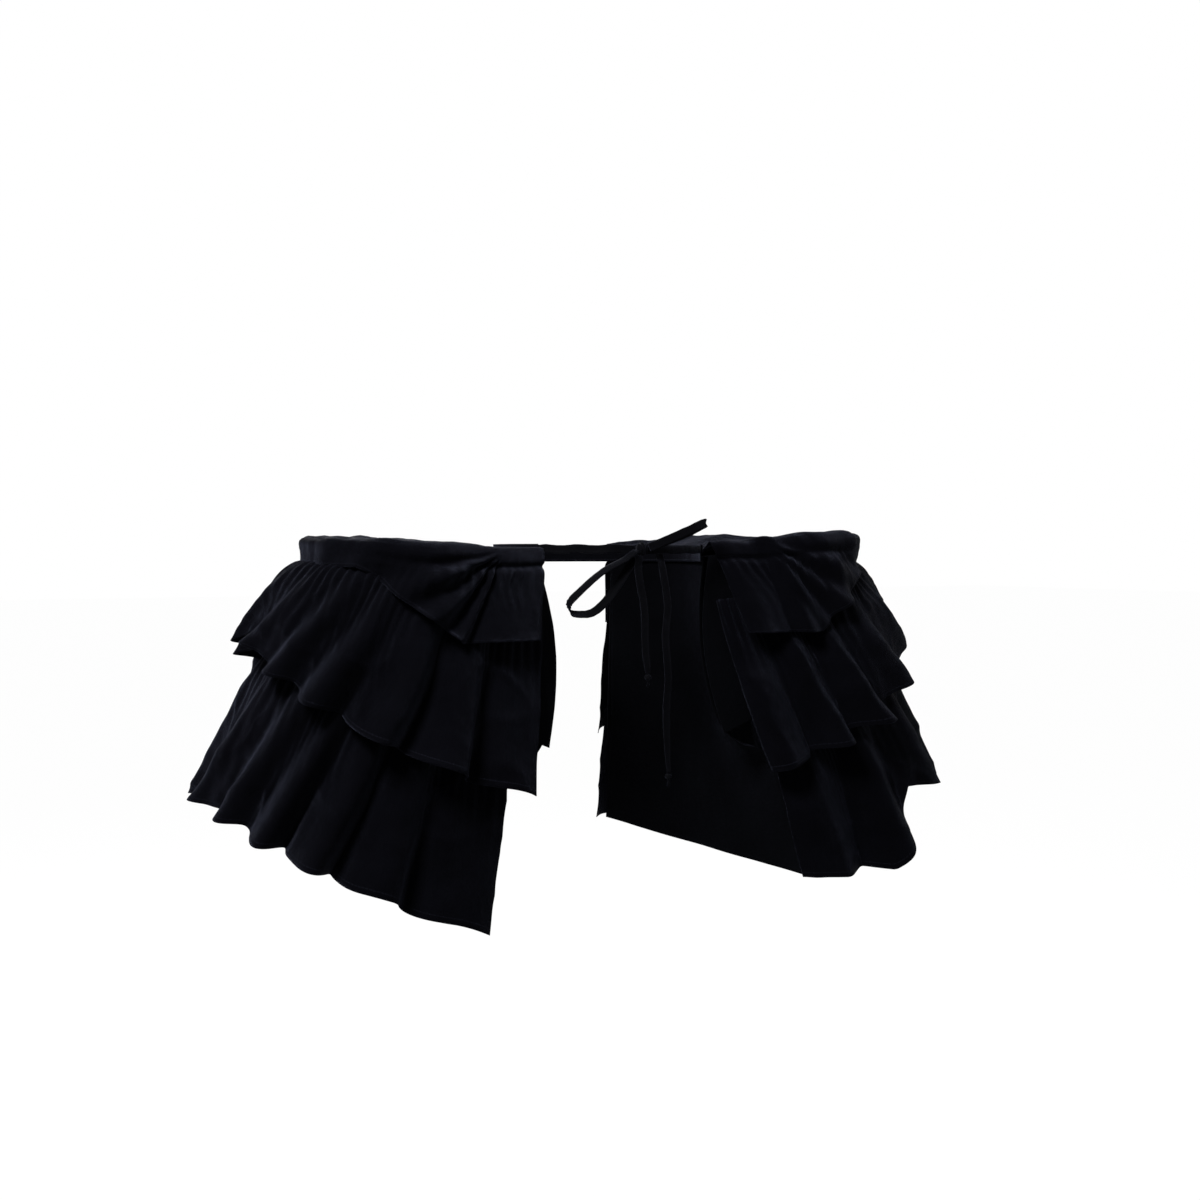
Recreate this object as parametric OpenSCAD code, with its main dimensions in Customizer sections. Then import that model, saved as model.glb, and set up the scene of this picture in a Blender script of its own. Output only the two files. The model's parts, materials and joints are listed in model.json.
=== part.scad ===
// Costume pannier: two hooped hip pockets dressed in gathered flounces, on a waistband that ties in front.
// Millimetres. +Z is up, the wearer faces -Y, and the origin is the middle of the waist opening.
// The wearer's left side (+X) is modelled, and the right side is its mirror image with folds of its own.

/* [Waist] */
// Half width of the waist opening, from side to side
waist_half_w = 124; // [110:1:140]
// Half depth of the waist opening, from front to back
waist_half_d = 93; // [84:1:104]
// Height of the waistband
band_h = 20; // [16:1:26]
// Thickness of the waistband, folded and sewn
band_t = 2.4; // [1.6:0.2:4]
// Rise of the waistband's top edge above the waist line
band_rise = 2; // [0:0.5:4]
// Angle from the hip at which the waistband ends in front
band_front_angle = 35; // [30:1:40]
// Angle from the hip at which the pocket ends behind
pocket_back_angle = 62; // [54:1:66]

/* [Cloth] */
// Thickness of the base cloth and hip panels
base_t = 2; // [1.2:0.2:2.6]
// Thickness of the flounces, measured straight out
flounce_t = 2; // [1.2:0.2:2.4]
// Sewing clearance between pieces
seat_gap = 0.4; // [0.3:0.1:0.6]

/* [Rim of the hip shelf] */
// Reach of the rim from the middle of the waist, which every hem and hoop follows
rim_reach = 328; // [300:1:345]
// Radius of the rim's rounded outer end, as a share of its reach
rim_round_share = 0.305; // [0.285:0.005:0.315]
// Front corner of the rim, out from the middle
rim_front_x = 108; // [106:1:111]
// Front corner of the rim, forward of the middle
rim_front_y = 62; // [60:1:66]
// Back corner of the rim, out from the middle
rim_back_x = 61; // [59:1:65]
// Back corner of the rim, behind the middle
rim_back_y = 89; // [87:1:93]
// Fall of the rim from the hip to its front and back corners
rim_fall = 11; // [8:0.5:12]

/* [Lower edge of the pocket] */
// Tilt of the lower hoop, raised towards the hip
lower_tilt = 23; // [20:1:26]
// Depth of the lower hoop's plane under the waist, at the middle
lower_depth = 258; // [245:1:270]
// Reach of the lower edge along its tilted plane, past the rim's
lower_spread = 60; // [48:1:64]
// Radius of the lower edge's rounded outer end, as a share of its reach
lower_round_share = 0.2887; // [0.28:0.0001:0.295]
// Front corner of the lower edge, out from the middle
lower_front_x = 118; // [114:1:122]
// Front corner of the lower edge, forward of the middle
lower_front_y = 96; // [92:1:99]
// Back corner of the lower edge, out from the middle
lower_back_x = 70; // [66:1:74]
// Back corner of the lower edge, behind the middle
lower_back_y = 106; // [102:1:109]

/* [Hoops] */
// Width of the flat bone
bone_w = 8; // [6:0.5:10]
// Thickness of the flat bone
bone_t = 1.6; // [1.2:0.2:2.4]
// Wall of the casing that holds the bone
casing_t = 0.8; // [0.6:0.1:1.2]
// Play of the bone in its casing
bone_play = 0.2; // [0.1:0.05:0.4]
// Length by which a hoop stops short of the pocket's front and back corners
hoop_set_back = 26; // [24:1:34]

/* [Top flounce] */
// Reach of the hem over the hip, past the rim's
top_spread = 20; // [18:1:24]
// Radius of the hem's outer end, as a share of its reach
top_round_share = 0.38; // [0.375:0.001:0.385]
// Hem height at the hip, under the waist
top_side_drop = 22; // [18:1:25]
// Hem height at the front corner, under the waist
top_front_drop = 97; // [90:1:102]
// Hem height at the back corner, under the waist
top_back_drop = 95; // [88:1:100]
// Depth of the hem's folds
top_fold = 9; // [6:1:10]

/* [Middle flounce] */
// Reach of the hem over the hip, past the rim's
middle_spread = 73; // [66:1:82]
// Radius of the hem's outer end, as a share of its reach
middle_round_share = 0.389; // [0.382:0.001:0.396]
// Hem height at the hip, under the waist
middle_side_drop = 88; // [82:1:92]
// Hem height at the front corner, under the waist
middle_front_drop = 252; // [244:1:258]
// Hem height at the back corner, under the waist
middle_back_drop = 240; // [232:1:246]
// Depth of the hem's folds
middle_fold = 16; // [12:1:17]

/* [Bottom flounce] */
// Reach of the hem over the hip, past the rim's
bottom_spread = 118; // [108:1:128]
// Radius of the hem's outer end, as a share of its reach
bottom_round_share = 0.3363; // [0.33:0.0001:0.342]
// Drop of the right hem over the hip
bottom_right_side_drop = 250; // [240:1:260]
// Drop of the left hem over the hip
bottom_left_side_drop = 286; // [276:1:296]
// Hem height at the right front corner, under the waist
bottom_right_drop = 386; // [372:1:396]
// Hem height at the left front corner, under the waist
bottom_left_drop = 374; // [362:1:390]
// Hem height at the back corner, under the waist
bottom_back_drop = 352; // [340:1:375]
// Depth of the hem's folds
bottom_fold = 16; // [12:1:17]

/* [Tie] */
// Width of the flat tie
tie_w = 9; // [7:0.5:11]
// Thickness of the flat tie
tie_t = 1.2; // [0.8:0.1:1.6]
// Radius of the bow's knot
knot_r = 7; // [6:0.5:9]
// Height of the bow's knot
knot_h = 14; // [12:0.5:18]
// Radius of the small knot at the end of a tail
end_knot_r = 3.5; // [3:0.25:5]

/* [Hidden] */

// Corners of the three hems: out from the middle, then forward of it or behind it
top_front_x = 131;
top_front_y = 112;
top_back_x = 70;
top_back_y = 118;
middle_front_x = 150;
middle_front_y = 134;
middle_back_x = 76;
middle_back_y = 146;
bottom_right_x = 200;
bottom_left_x = 190;
bottom_front_y = 134;
bottom_back_x = 80;
bottom_back_y = 158;

// Heights of the cloth edges at the waistband and at the rim, and room for the lean of the wall
top_seam_depth = 6;
base_seam_depth = 12;
rim_turn = 17;
lower_lean = 1.8;
right_top_lift = [6, 11];
left_top_lift = [15, 11];
left_top_puff = 11;
top_rim_out = 12;

// Small gathers where a flounce is sewn on, and their share of the hem's folds at each row
gather = 1.5;
seam_row_shares = [0, 0.2, 0.5, 0.8, 1];
// Rows of the top flounce: share of the shelf, share of the drop, turn from up to out, share of the fold
top_row_shares = [
    [0, 0, 0, 0.15], [0.5, 0, 0, 0.2], [0.88, 0, 0.25, 0.25],
    [1, 0.14, 0.8, 0.35], [1, 0.55, 1, 0.7], [1, 1, 1, 1]
];
// Rows of the base: share of the shelf, share of the wall, turn from up to out
base_row_shares = [
    [0, 0, 0], [0.5, 0, 0], [0.92, 0, 0.3],
    [1, 0.02, 0.9], [1, 0.26, 1], [1, 0.5, 1], [1, 0.75, 1], [1, 1, 1]
];
// Height of each flounce's seam, as a share of the wall from the rim to the lower edge
middle_seam_share = 0.26;
bottom_seam_share = 0.88;
// Share of the wall's length by which each seam starts behind the front edge
middle_start_share = 0.02;
bottom_start_share = 0.07;

// Ridges of the folds along each hem, as shares of its length from the front corner
right_top_ridge_shares = [
    0.05, 0.17, 0.25, 0.32, 0.39, 0.46, 0.54, 0.63, 0.73, 0.84, 0.94
];
left_top_ridge_shares = [
    0.03, 0.11, 0.2, 0.28, 0.37, 0.45, 0.53, 0.62, 0.71, 0.81, 0.92
];
right_middle_ridge_shares = [
    0.04, 0.13, 0.215, 0.3, 0.36, 0.42, 0.48, 0.54, 0.61, 0.68, 0.76, 0.83, 0.9, 0.97
];
left_middle_ridge_shares = [
    0.02, 0.1, 0.17, 0.265, 0.365, 0.44, 0.51, 0.58, 0.66, 0.74, 0.81, 0.89, 0.96
];
right_bottom_ridge_shares = [
    0.06, 0.165, 0.23, 0.285, 0.345, 0.41, 0.48, 0.56, 0.63, 0.7, 0.77, 0.84, 0.9, 0.97
];
left_bottom_ridge_shares = [
    0.05, 0.155, 0.26, 0.335, 0.4, 0.46, 0.52, 0.59, 0.67, 0.75, 0.82, 0.89, 0.96
];
// Unevenness of the folds' depth as a share, and how depth and flare grow down to the hem
fold_swell_share = 0.2;
fold_growth = 1.4;
middle_end_flare = 0.55;
bottom_end_flare = 0.7;
middle_side_flare = 1.2;
bottom_side_flare = 1;
points_per_fold = 6;
right_seed = 1;
left_seed = 2.4;

// Fall of each hem from the hip to a corner: shares of the way where it starts and ends, and its power
top_fall = [0.15, 0.6, 1];
middle_fall = [0, 1, 0.55];
right_bottom_fall = [0, 1, 0.85];
left_bottom_fall = [0.36, 0.56, 0.8];
base_steps = 30;
panel_steps = 12;
band_steps = 48;
run_steps = 14;
hoop_steps = 48;

// Length by which a bone ends inside its casing, and by which a cut overruns the piece it cuts
bone_recess = 3;
overrun = 1;

// Hip panel: depth and swell at the hip, corners of its hem, and for each of its rows the shares of the
// way to the hip, then out to the hem at the front edge and down to the hem
panel_hip_depth = 222;
panel_belly_x = 216;
panel_inset = 3;
panel_hem_front = [205, -116, -379];
panel_hem_back = [87, 145, -352];
panel_row_shares = [
    [0, 0, 0], [0.25, 0, 0], [0.5, 0, 0], [0.75, 0, 0], [1, 0, 0], [1, 0.4, 0.05],
    [1, 0.7, 0.16], [1, 0.88, 0.5], [1, 1, 1]
];
// Swell of the pocket's front edge towards the middle
front_bulge = 16;
front_bulge_power = 10;

// Place of the bow and the routes of its tape from the front of the waist, chosen by hand
bow_x = 0;
bow_out = 5;
tail_tip_share = 0.5;
tail_short_route = [
    [-4, -9, -11.5], [-6, -9, -23], [-4, -10, -42], [0, -10, -60], [2, -10, -81], [2, -10, -102],
    [4, -10, -124], [6, -10, -139]
];
tail_long_route = [
    [25, 0, -9], [26, -3, -18], [28, -7, -39], [30, -9, -56], [30, -10, -74], [28, -10, -90],
    [28, -10, -106], [31, -10, -142], [29, -10, -173], [29, -10, -196], [30, -10, -220],
    [32, -10, -249]
];
loop_right_route = [
    [-8, -8, -5], [-22, -10, -14], [-40, -12, -22], [-57, -14, -31], [-78, -16, -47], [-91, -16, -59],
    [-91, -16, -68], [-85, -16, -72], [-64, -14, -71], [-45, -11, -58], [-25, -7, -36], [-7, -3, -13]
];
loop_left_route = [
    [8, -9, -3], [22, -11, 3], [40, -13, 10], [58, -14, 17], [72, -14, 23], [77, -12, 25],
    [72, -10, 23], [58, -9, 17], [40, -8, 10], [22, -6, 3], [8, -4, -3]
];
// Directions that the tape's width takes at the start and end of a route
loop_right_faces = [[0, 1, 0.4], [0, 0.6, 1]];
loop_left_faces = [[0, 0, 1], [0, 0, 1]];
tail_faces = [[1, 0.1, 0], [1, 0.1, 0]];

// Reaches that follow the rim's, and the radii of the rounded ends
lower_reach = rim_reach + lower_spread;
top_reach = rim_reach + top_spread;
middle_reach = rim_reach + middle_spread;
bottom_reach = rim_reach + bottom_spread;
rim_r = rim_reach * rim_round_share;
lower_r = lower_reach * lower_round_share;
top_r = top_reach * top_round_share;
middle_r = middle_reach * middle_round_share;
bottom_r = bottom_reach * bottom_round_share;

// Lines around a pocket: front corner, back corner, reach, end radius, heights at hip, front and back, fall
level = [0, 1, 1];
rim_line = [
    rim_front_x, -rim_front_y, rim_back_x, rim_back_y, rim_reach, rim_r, 0, -rim_fall, -rim_fall, level
];
lower_line = [
    lower_front_x, -lower_front_y, lower_back_x, lower_back_y, lower_reach, lower_r, 0, 0, 0, level
];
top_hem = [
    top_front_x, -top_front_y, top_back_x, top_back_y, top_reach, top_r,
    -top_side_drop, -top_front_drop, -top_back_drop, top_fall
];
middle_hem = [
    middle_front_x, -middle_front_y, middle_back_x, middle_back_y, middle_reach, middle_r,
    -middle_side_drop, -middle_front_drop, -middle_back_drop, middle_fall
];
function bottom_hem(front_x, side_drop, front_drop, fall) = [
    front_x, -bottom_front_y, bottom_back_x, bottom_back_y, bottom_reach, bottom_r,
    -side_drop, -front_drop, -bottom_back_drop, fall
];

function mix(a, b, share) = a + (b - a) * share;
function unit(v) = v / norm(v);
function outward(angle) = [cos(angle), sin(angle), 0];

// Geometry of one line: centre of its round end and the angles where its straight legs leave the round
function end_x(line) = line[4] - line[5];
function front_span(line) = [line[0] - end_x(line), line[1]];
function back_span(line) = [line[2] - end_x(line), line[3]];
function leg_length(span, r) = sqrt(span * span - r * r);
function front_angle(line) = let(d = front_span(line)) atan2(d[1], d[0]) + acos(line[5] / norm(d));
function back_angle(line) = let(d = back_span(line)) atan2(d[1], d[0]) - acos(line[5] / norm(d));
function arc_length(line) = line[5] * (back_angle(line) - front_angle(line)) * PI / 180;

// Place on a line in plan at a share of its length from the front corner: x, y and the outward angle
function plan(line, s) =
    let(
        r = line[5], cx = end_x(line), a0 = front_angle(line), a1 = back_angle(line),
        leg_f = leg_length(front_span(line), r), leg_b = leg_length(back_span(line), r),
        arc = arc_length(line), d = s * (leg_f + arc + leg_b),
        front = [line[0], line[1]], back = [line[2], line[3]],
        turn_f = [cx + r * cos(a0), r * sin(a0)], turn_b = [cx + r * cos(a1), r * sin(a1)],
        a = d < leg_f ? a0 : d < leg_f + arc ? a0 + (d - leg_f) / r * 180 / PI : a1,
        p = d < leg_f ? mix(front, turn_f, d / leg_f)
          : d < leg_f + arc ? [cx + r * cos(a), r * sin(a)]
          : mix(turn_b, back, (d - leg_f - arc) / leg_b)
    )
    [p[0], p[1], a];

// Height of a line at a place in plan: it falls from the hip to its front and back corners
function fall_share(fall, way) = pow(min(max((way - fall[0]) / (fall[1] - fall[0]), 0), 1), fall[2]);
function line_height(line, x, angle) =
    angle < 0 ? mix(line[6], line[7], fall_share(line[9], (line[4] - x) / (line[4] - line[0])))
              : mix(line[6], line[8], fall_share(line[9], (line[4] - x) / (line[4] - line[2])));
function line_point(line, s) = let(p = plan(line, s)) [p[0], p[1], line_height(line, p[0], p[2])];
function line_out(line, s) = outward(plan(line, s)[2]);

// The same line moved outward in plan
function grow(line, d) =
    let(f = outward(front_angle(line)) * d, b = outward(back_angle(line)) * d)
    [
        line[0] + f[0], line[1] + f[1], line[2] + b[0], line[3] + b[1],
        line[4] + d, line[5] + d, line[6], line[7], line[8], line[9]
    ];

// Waist line of a pocket at a share of its length, and the lower edge on its tilted plane
function waist_angle(s) = mix(-band_front_angle, pocket_back_angle, s);
function waist_point(s, out, depth) =
    let(a = waist_angle(s)) [(waist_half_w + out) * cos(a), (waist_half_d + out) * sin(a), -depth];
function tilt_point(p) = [p[0] * cos(lower_tilt), p[1], p[0] * sin(lower_tilt) - lower_depth];
function lower_point(s) = tilt_point(plan(lower_line, s));
function rim_point(s) = line_point(rim_line, s);
function wall_point(s, share) = mix(rim_point(s), lower_point(s), share) - front_swell(s, share);

// Swell of the pocket's front edge towards the middle, where it lies on the wearer's belly
function front_swell(s, drop) =
    outward(front_angle(lower_line) + 90) * front_bulge * sin(180 * drop) * pow(1 - s, front_bulge_power);

// Fold wave, 1 on a ridge and down to -1 between two ridges, less on some folds than on others
function fold_wave(s, ridges, seed) =
    let(
        turns = lookup(s, [for (k = [0:len(ridges) - 1]) [ridges[k], k]]),
        swell = 1 - fold_swell_share * (1 + sin(360 * 2.3 * s + 61 * seed))
    )
    swell * cos(360 * turns);

// A sheet of cloth: a grid of places with their outward directions, closed into a solid of even thickness
module cloth(places, outs, thickness) {
    nu = len(places) - 1;
    nv = len(places[0]) - 1;
    layer = (nu + 1) * (nv + 1);
    points = [
        for (side = [-1, 1], i = [0:nu], j = [0:nv]) places[i][j] + outs[i][j] * side * thickness / 2
    ];
    function inner(i, j) = i * (nv + 1) + j;
    function outer(i, j) = layer + inner(i, j);
    faces = [
        for (i = [0:nu - 1], j = [0:nv - 1]) each [
            [outer(i, j), outer(i + 1, j), outer(i + 1, j + 1)],
            [outer(i, j), outer(i + 1, j + 1), outer(i, j + 1)],
            [inner(i, j), inner(i + 1, j + 1), inner(i + 1, j)],
            [inner(i, j), inner(i, j + 1), inner(i + 1, j + 1)]
        ],
        for (j = [0:nv - 1]) each [
            [outer(0, j), outer(0, j + 1), inner(0, j + 1)],
            [outer(0, j), inner(0, j + 1), inner(0, j)],
            [outer(nu, j), inner(nu, j + 1), outer(nu, j + 1)],
            [outer(nu, j), inner(nu, j), inner(nu, j + 1)]
        ],
        for (i = [0:nu - 1]) each [
            [outer(i, 0), inner(i, 0), inner(i + 1, 0)],
            [outer(i, 0), inner(i + 1, 0), outer(i + 1, 0)],
            [outer(i, nv), inner(i + 1, nv), inner(i, nv)],
            [outer(i, nv), outer(i + 1, nv), inner(i + 1, nv)]
        ]
    ];
    polyhedron(points, faces);
}

// A flat tape swept along a route: its width turns from one direction to another, and its tip may narrow
module tape(route, faces, tip_share) {
    last = len(route) - 1;
    half_w = tie_w / 2;
    half_t = tie_t / 2;
    flat_share = 0.86;
    edge_t = half_t * (1 - flat_share);
    flat_w = half_w * flat_share;
    section = [
        [half_w, edge_t], [flat_w, half_t], [-flat_w, half_t], [-half_w, edge_t],
        [-half_w, -edge_t], [-flat_w, -half_t], [flat_w, -half_t], [half_w, -edge_t]
    ];
    sides = len(section);
    function along(k) = unit(route[min(k + 1, last)] - route[max(k - 1, 0)]);
    function face(k) = mix(faces[0], faces[1], k / last);
    function across(k) = unit(face(k) - along(k) * (along(k) * face(k)));
    function width(k) = k == last ? tip_share : 1;
    rings = [
        for (k = [0:last], c = section)
            route[k] + across(k) * c[0] * width(k) + cross(along(k), across(k)) * c[1]
    ];
    skin = [
        [for (c = [0:sides - 1]) c],
        [for (c = [sides - 1:-1:0]) last * sides + c],
        for (k = [0:last - 1], c = [0:sides - 1]) each [
            [k * sides + c, (k + 1) * sides + c, k * sides + (c + 1) % sides],
            [k * sides + (c + 1) % sides, (k + 1) * sides + c, (k + 1) * sides + (c + 1) % sides]
        ]
    ];
    polyhedron(rings, skin);
}

// A flat strip standing along a line in plan, stopping short of the corners at both ends
module hoop_strip(line, thickness, height, set_back) {
    whole = leg_length(front_span(line), line[5]) + arc_length(line) + leg_length(back_span(line), line[5]);
    end_share = set_back / whole;
    places = [for (k = [0:hoop_steps]) plan(line, mix(end_share, 1 - end_share, k / hoop_steps))];
    function side(d) = [for (p = places) [p[0] + d * cos(p[2]), p[1] + d * sin(p[2])]];
    inner = side(-thickness / 2);
    outer = side(thickness / 2);
    translate([0, 0, -height / 2]) linear_extrude(height)
        polygon(concat(outer, [for (k = [hoop_steps:-1:0]) inner[k]]));
}

// Casing sizes, and the lines that the bones follow inside the base cloth
casing_w = bone_w + 2 * (casing_t + bone_play);
casing_d = bone_t + 2 * (casing_t + bone_play);
bone_inset = base_t / 2 + seat_gap + casing_d / 2;
rim_bone_line = grow(rim_line, -bone_inset);
lower_bone_line = grow(lower_line, -bone_inset - lower_lean);
rim_bone_depth = rim_turn + casing_w / 2;
lower_bone_rise = casing_w / 2;

module bone(line) { hoop_strip(line, bone_t, bone_w, hoop_set_back + bone_recess); }

module casing(line) {
    difference() {
        hoop_strip(line, casing_d, casing_w, hoop_set_back);
        hoop_strip(line, bone_t + 2 * bone_play, bone_w + 2 * bone_play, hoop_set_back - overrun);
    }
}

module at_rim() { translate([0, 0, -rim_bone_depth]) children(); }
module at_lower_edge() {
    translate([0, 0, -lower_depth]) rotate([0, -lower_tilt, 0])
        translate([0, 0, lower_bone_rise]) children();
}

// Base cloth: the shelf from the waistband to the rim, and the wall from the rim to the lower edge
function base_place(s, row) =
    row[0] < 1 ? mix(waist_point(s, band_t + seat_gap, base_seam_depth), rim_point(s), row[0])
               : wall_point(s, row[1]);
function base_out(s, row) = unit(mix([0, 0, 1], line_out(rim_line, s), row[2]));

module base() {
    shares = [for (i = [0:base_steps]) i / base_steps];
    cloth(
        [for (s = shares) [for (row = base_row_shares) base_place(s, row)]],
        [for (s = shares) [for (row = base_row_shares) base_out(s, row)]],
        base_t
    );
}

// Hip panel: the pocket's inner side, from the waistband over the wearer's hip and down to the hem
function panel_hip(s) =
    let(
        front = lower_point(0) + [panel_inset, panel_inset + base_t, 0],
        back = lower_point(1) + [panel_inset, -panel_inset - base_t, 0],
        low = front * (1 - s) * (1 - s) + [panel_belly_x, 0, 0] * 2 * s * (1 - s) + back * s * s
    )
    [low[0], low[1], -panel_hip_depth];
function panel_place(s, row) =
    let(
        top = waist_point(s, band_t + 2 * seat_gap + base_t / 2, base_seam_depth + base_t / 2 + seat_gap),
        down = mix(panel_hem_front, panel_hem_back, s) - panel_hip(s),
        out_share = mix(row[1], row[2], s)
    )
    mix(top, panel_hip(s), row[0]) - front_swell(s, row[0])
        + [down[0] * out_share, down[1] * out_share, down[2] * row[2]];

module hip_panel() {
    shares = [for (i = [0:panel_steps]) i / panel_steps];
    cloth(
        [for (s = shares) [for (row = panel_row_shares) panel_place(s, row)]],
        [for (s = shares) [for (row = panel_row_shares) outward(waist_angle(s))]],
        base_t
    );
}

// Top flounce: sewn to the waistband, it lies over the shelf and drops past the rim
top_rim = grow(rim_line, top_rim_out);
function top_place(s, row, lift, puff, ridges, seed) =
    let(
        lift_here = mix(lift[0], lift[1], pow(sin(180 * s), 2)) + puff * pow(sin(360 * s), 2),
        rim = line_point(top_rim, s) + [0, 0, lift_here],
        shelf = mix(waist_point(s, band_t + seat_gap, top_seam_depth), rim, row[0]),
        drop = (line_point(top_hem, s) - rim) * row[1]
    )
    shelf + drop + top_out(s, row) * top_fold * row[3] * fold_wave(s, ridges, seed);
function top_out(s, row) = unit(mix([0, 0, 1], line_out(top_hem, s), row[2]));

module top_flounce(lift, puff, ridges, seed) {
    steps = len(ridges) * points_per_fold;
    shares = [for (i = [0:steps]) i / steps];
    cloth(
        [for (s = shares) [for (row = top_row_shares) top_place(s, row, lift, puff, ridges, seed)]],
        [for (s = shares) [for (row = top_row_shares) top_out(s, row)]],
        flounce_t
    );
}

// Lower flounces: gathered onto the base wall at a seam, they flare in folds to the hem
module wall_flounce(seam_share, start_share, hem, side_flare, end_flare, fold, ridges, seed) {
    seam_out = base_t / 2 + 1.5 * seat_gap + gather + flounce_t / 2;
    steps = len(ridges) * points_per_fold;
    shares = [for (i = [0:steps]) i / steps];
    function flare(s) = mix(side_flare, end_flare, pow(max(line_out(hem, s)[0], 0), 2));
    function place(s, v) =
        let(
            wall_s = mix(start_share, 1, s),
            seam = wall_point(wall_s, seam_share) + line_out(rim_line, wall_s) * seam_out,
            low = line_point(hem, s),
            flat = mix(seam, low, pow(v, flare(s))),
            depth = mix(gather, fold, pow(v, fold_growth))
        )
        [flat[0], flat[1], mix(seam[2], low[2], v)] + line_out(hem, s) * depth * fold_wave(s, ridges, seed);
    cloth(
        [for (s = shares) [for (v = seam_row_shares) place(s, v)]],
        [for (s = shares) [for (v = seam_row_shares) line_out(hem, s)]],
        flounce_t
    );
}

module middle_flounce(ridges, seed) {
    wall_flounce(
        middle_seam_share, middle_start_share, middle_hem, middle_side_flare, middle_end_flare,
        middle_fold, ridges, seed
    );
}
module bottom_flounce(hem, ridges, seed) {
    wall_flounce(
        bottom_seam_share, bottom_start_share, hem, bottom_side_flare, bottom_end_flare,
        bottom_fold, ridges, seed
    );
}

module top_flounce_right() { top_flounce(right_top_lift, 0, right_top_ridge_shares, right_seed); }
module top_flounce_left() {
    top_flounce(left_top_lift, left_top_puff, left_top_ridge_shares, left_seed);
}
module middle_flounce_right() { middle_flounce(right_middle_ridge_shares, right_seed); }
module middle_flounce_left() { middle_flounce(left_middle_ridge_shares, left_seed); }
module bottom_flounce_right() {
    hem = bottom_hem(bottom_right_x, bottom_right_side_drop, bottom_right_drop, right_bottom_fall);
    bottom_flounce(hem, right_bottom_ridge_shares, right_seed);
}
module bottom_flounce_left() {
    hem = bottom_hem(bottom_left_x, bottom_left_side_drop, bottom_left_drop, left_bottom_fall);
    bottom_flounce(hem, left_bottom_ridge_shares, left_seed);
}

// Arc of a strip around the waist between two angles
module waist_strip(inner_out, thickness, from_angle, to_angle, steps) {
    function ring(out) = [
        for (k = [0:steps]) let(a = mix(from_angle, to_angle, k / steps))
            [(waist_half_w + out) * cos(a), (waist_half_d + out) * sin(a)]
    ];
    inner = ring(inner_out);
    outer = ring(inner_out + thickness);
    polygon(concat(outer, [for (k = [steps:-1:0]) inner[k]]));
}

module waistband() {
    translate([0, 0, band_rise - band_h]) linear_extrude(band_h)
        waist_strip(0, band_t, -band_front_angle, 180 + band_front_angle, band_steps);
}

// Tie: from each front end of the waistband to the bow's knot
bow_y = -(waist_half_d + band_t / 2 + bow_out);
bow_z = band_rise - tie_w / 2 - band_t / 2;
bow_angle = -acos(bow_x / (waist_half_w + band_t / 2));
run_offset = bow_out - tie_t / 2;
bow_half_angle = (sqrt(knot_r * knot_r - run_offset * run_offset) + seat_gap) / waist_half_w * 180 / PI;

module tie_run(from_angle, to_angle) {
    translate([0, 0, bow_z - tie_w / 2]) linear_extrude(tie_w)
        waist_strip((band_t - tie_t) / 2, tie_t, from_angle, to_angle, run_steps);
}

module tie_run_right() { tie_run(band_front_angle - 180, bow_angle - bow_half_angle); }
module tie_run_left() { tie_run(-band_front_angle, bow_angle + bow_half_angle); }

// A barrel-shaped knot with flat ends
module barrel(r, h) {
    end_share = 0.8;
    barrel_steps = 8;
    rotate_extrude($fn = 48) polygon([
        [0, -h / 2],
        for (k = [0:barrel_steps]) let(a = mix(-90, 90, k / barrel_steps))
            [r * mix(end_share, 1, cos(a)), h / 2 * k / barrel_steps * 2 - h / 2],
        [0, h / 2]
    ]);
}

module bow_knot() { translate([bow_x, bow_y, bow_z]) barrel(knot_r, knot_h); }

// Small overhand knot under a tail, with the frayed tip of the tape below it
module end_knot(route) {
    tip_share = 0.55;
    neck_share = 0.4;
    h = end_knot_r * 2;
    translate(route[len(route) - 1] - [0, 0, h / 2 + seat_gap]) {
        barrel(end_knot_r, h);
        translate([0, 0, -h / 2 - h]) cylinder(h, end_knot_r * tip_share, end_knot_r * neck_share, $fn = 32);
    }
}

// The bow's tapes hang from the front of the waist
module at_waist_front() { translate([0, -waist_half_d, 0]) children(); }

module bow_loop_right() { at_waist_front() tape(loop_right_route, loop_right_faces, 1); }
module bow_loop_left() { at_waist_front() tape(loop_left_route, loop_left_faces, 1); }
module tail_short() { at_waist_front() tape(tail_short_route, tail_faces, tail_tip_share); }
module tail_long() { at_waist_front() tape(tail_long_route, tail_faces, tail_tip_share); }
module tail_short_knot() { at_waist_front() end_knot(tail_short_route); }
module tail_long_knot() { at_waist_front() end_knot(tail_long_route); }

module black() { color([0.03, 0.03, 0.04]) children(); }
module lining() { color([0.06, 0.06, 0.07]) children(); }
module boning() { color([0.7, 0.7, 0.68]) children(); }
module right() { mirror([1, 0, 0]) children(); }

black() waistband();
black() tie_run_right();
black() tie_run_left();
black() bow_knot();
black() bow_loop_right();
black() bow_loop_left();
black() tail_short();
black() tail_long();
black() tail_short_knot();
black() tail_long_knot();
lining() right() base();  // right_base
lining() base();  // left_base
lining() right() hip_panel();  // right_hip_panel
lining() hip_panel();  // left_hip_panel
boning() right() at_rim() bone(rim_bone_line);  // right_rim_hoop
boning() at_rim() bone(rim_bone_line);  // left_rim_hoop
lining() right() at_rim() casing(rim_bone_line);  // right_rim_casing
lining() at_rim() casing(rim_bone_line);  // left_rim_casing
boning() right() at_lower_edge() bone(lower_bone_line);  // right_lower_hoop
boning() at_lower_edge() bone(lower_bone_line);  // left_lower_hoop
lining() right() at_lower_edge() casing(lower_bone_line);  // right_lower_casing
lining() at_lower_edge() casing(lower_bone_line);  // left_lower_casing
black() right() top_flounce_right();  // right_top_flounce
black() top_flounce_left();  // left_top_flounce
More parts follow.
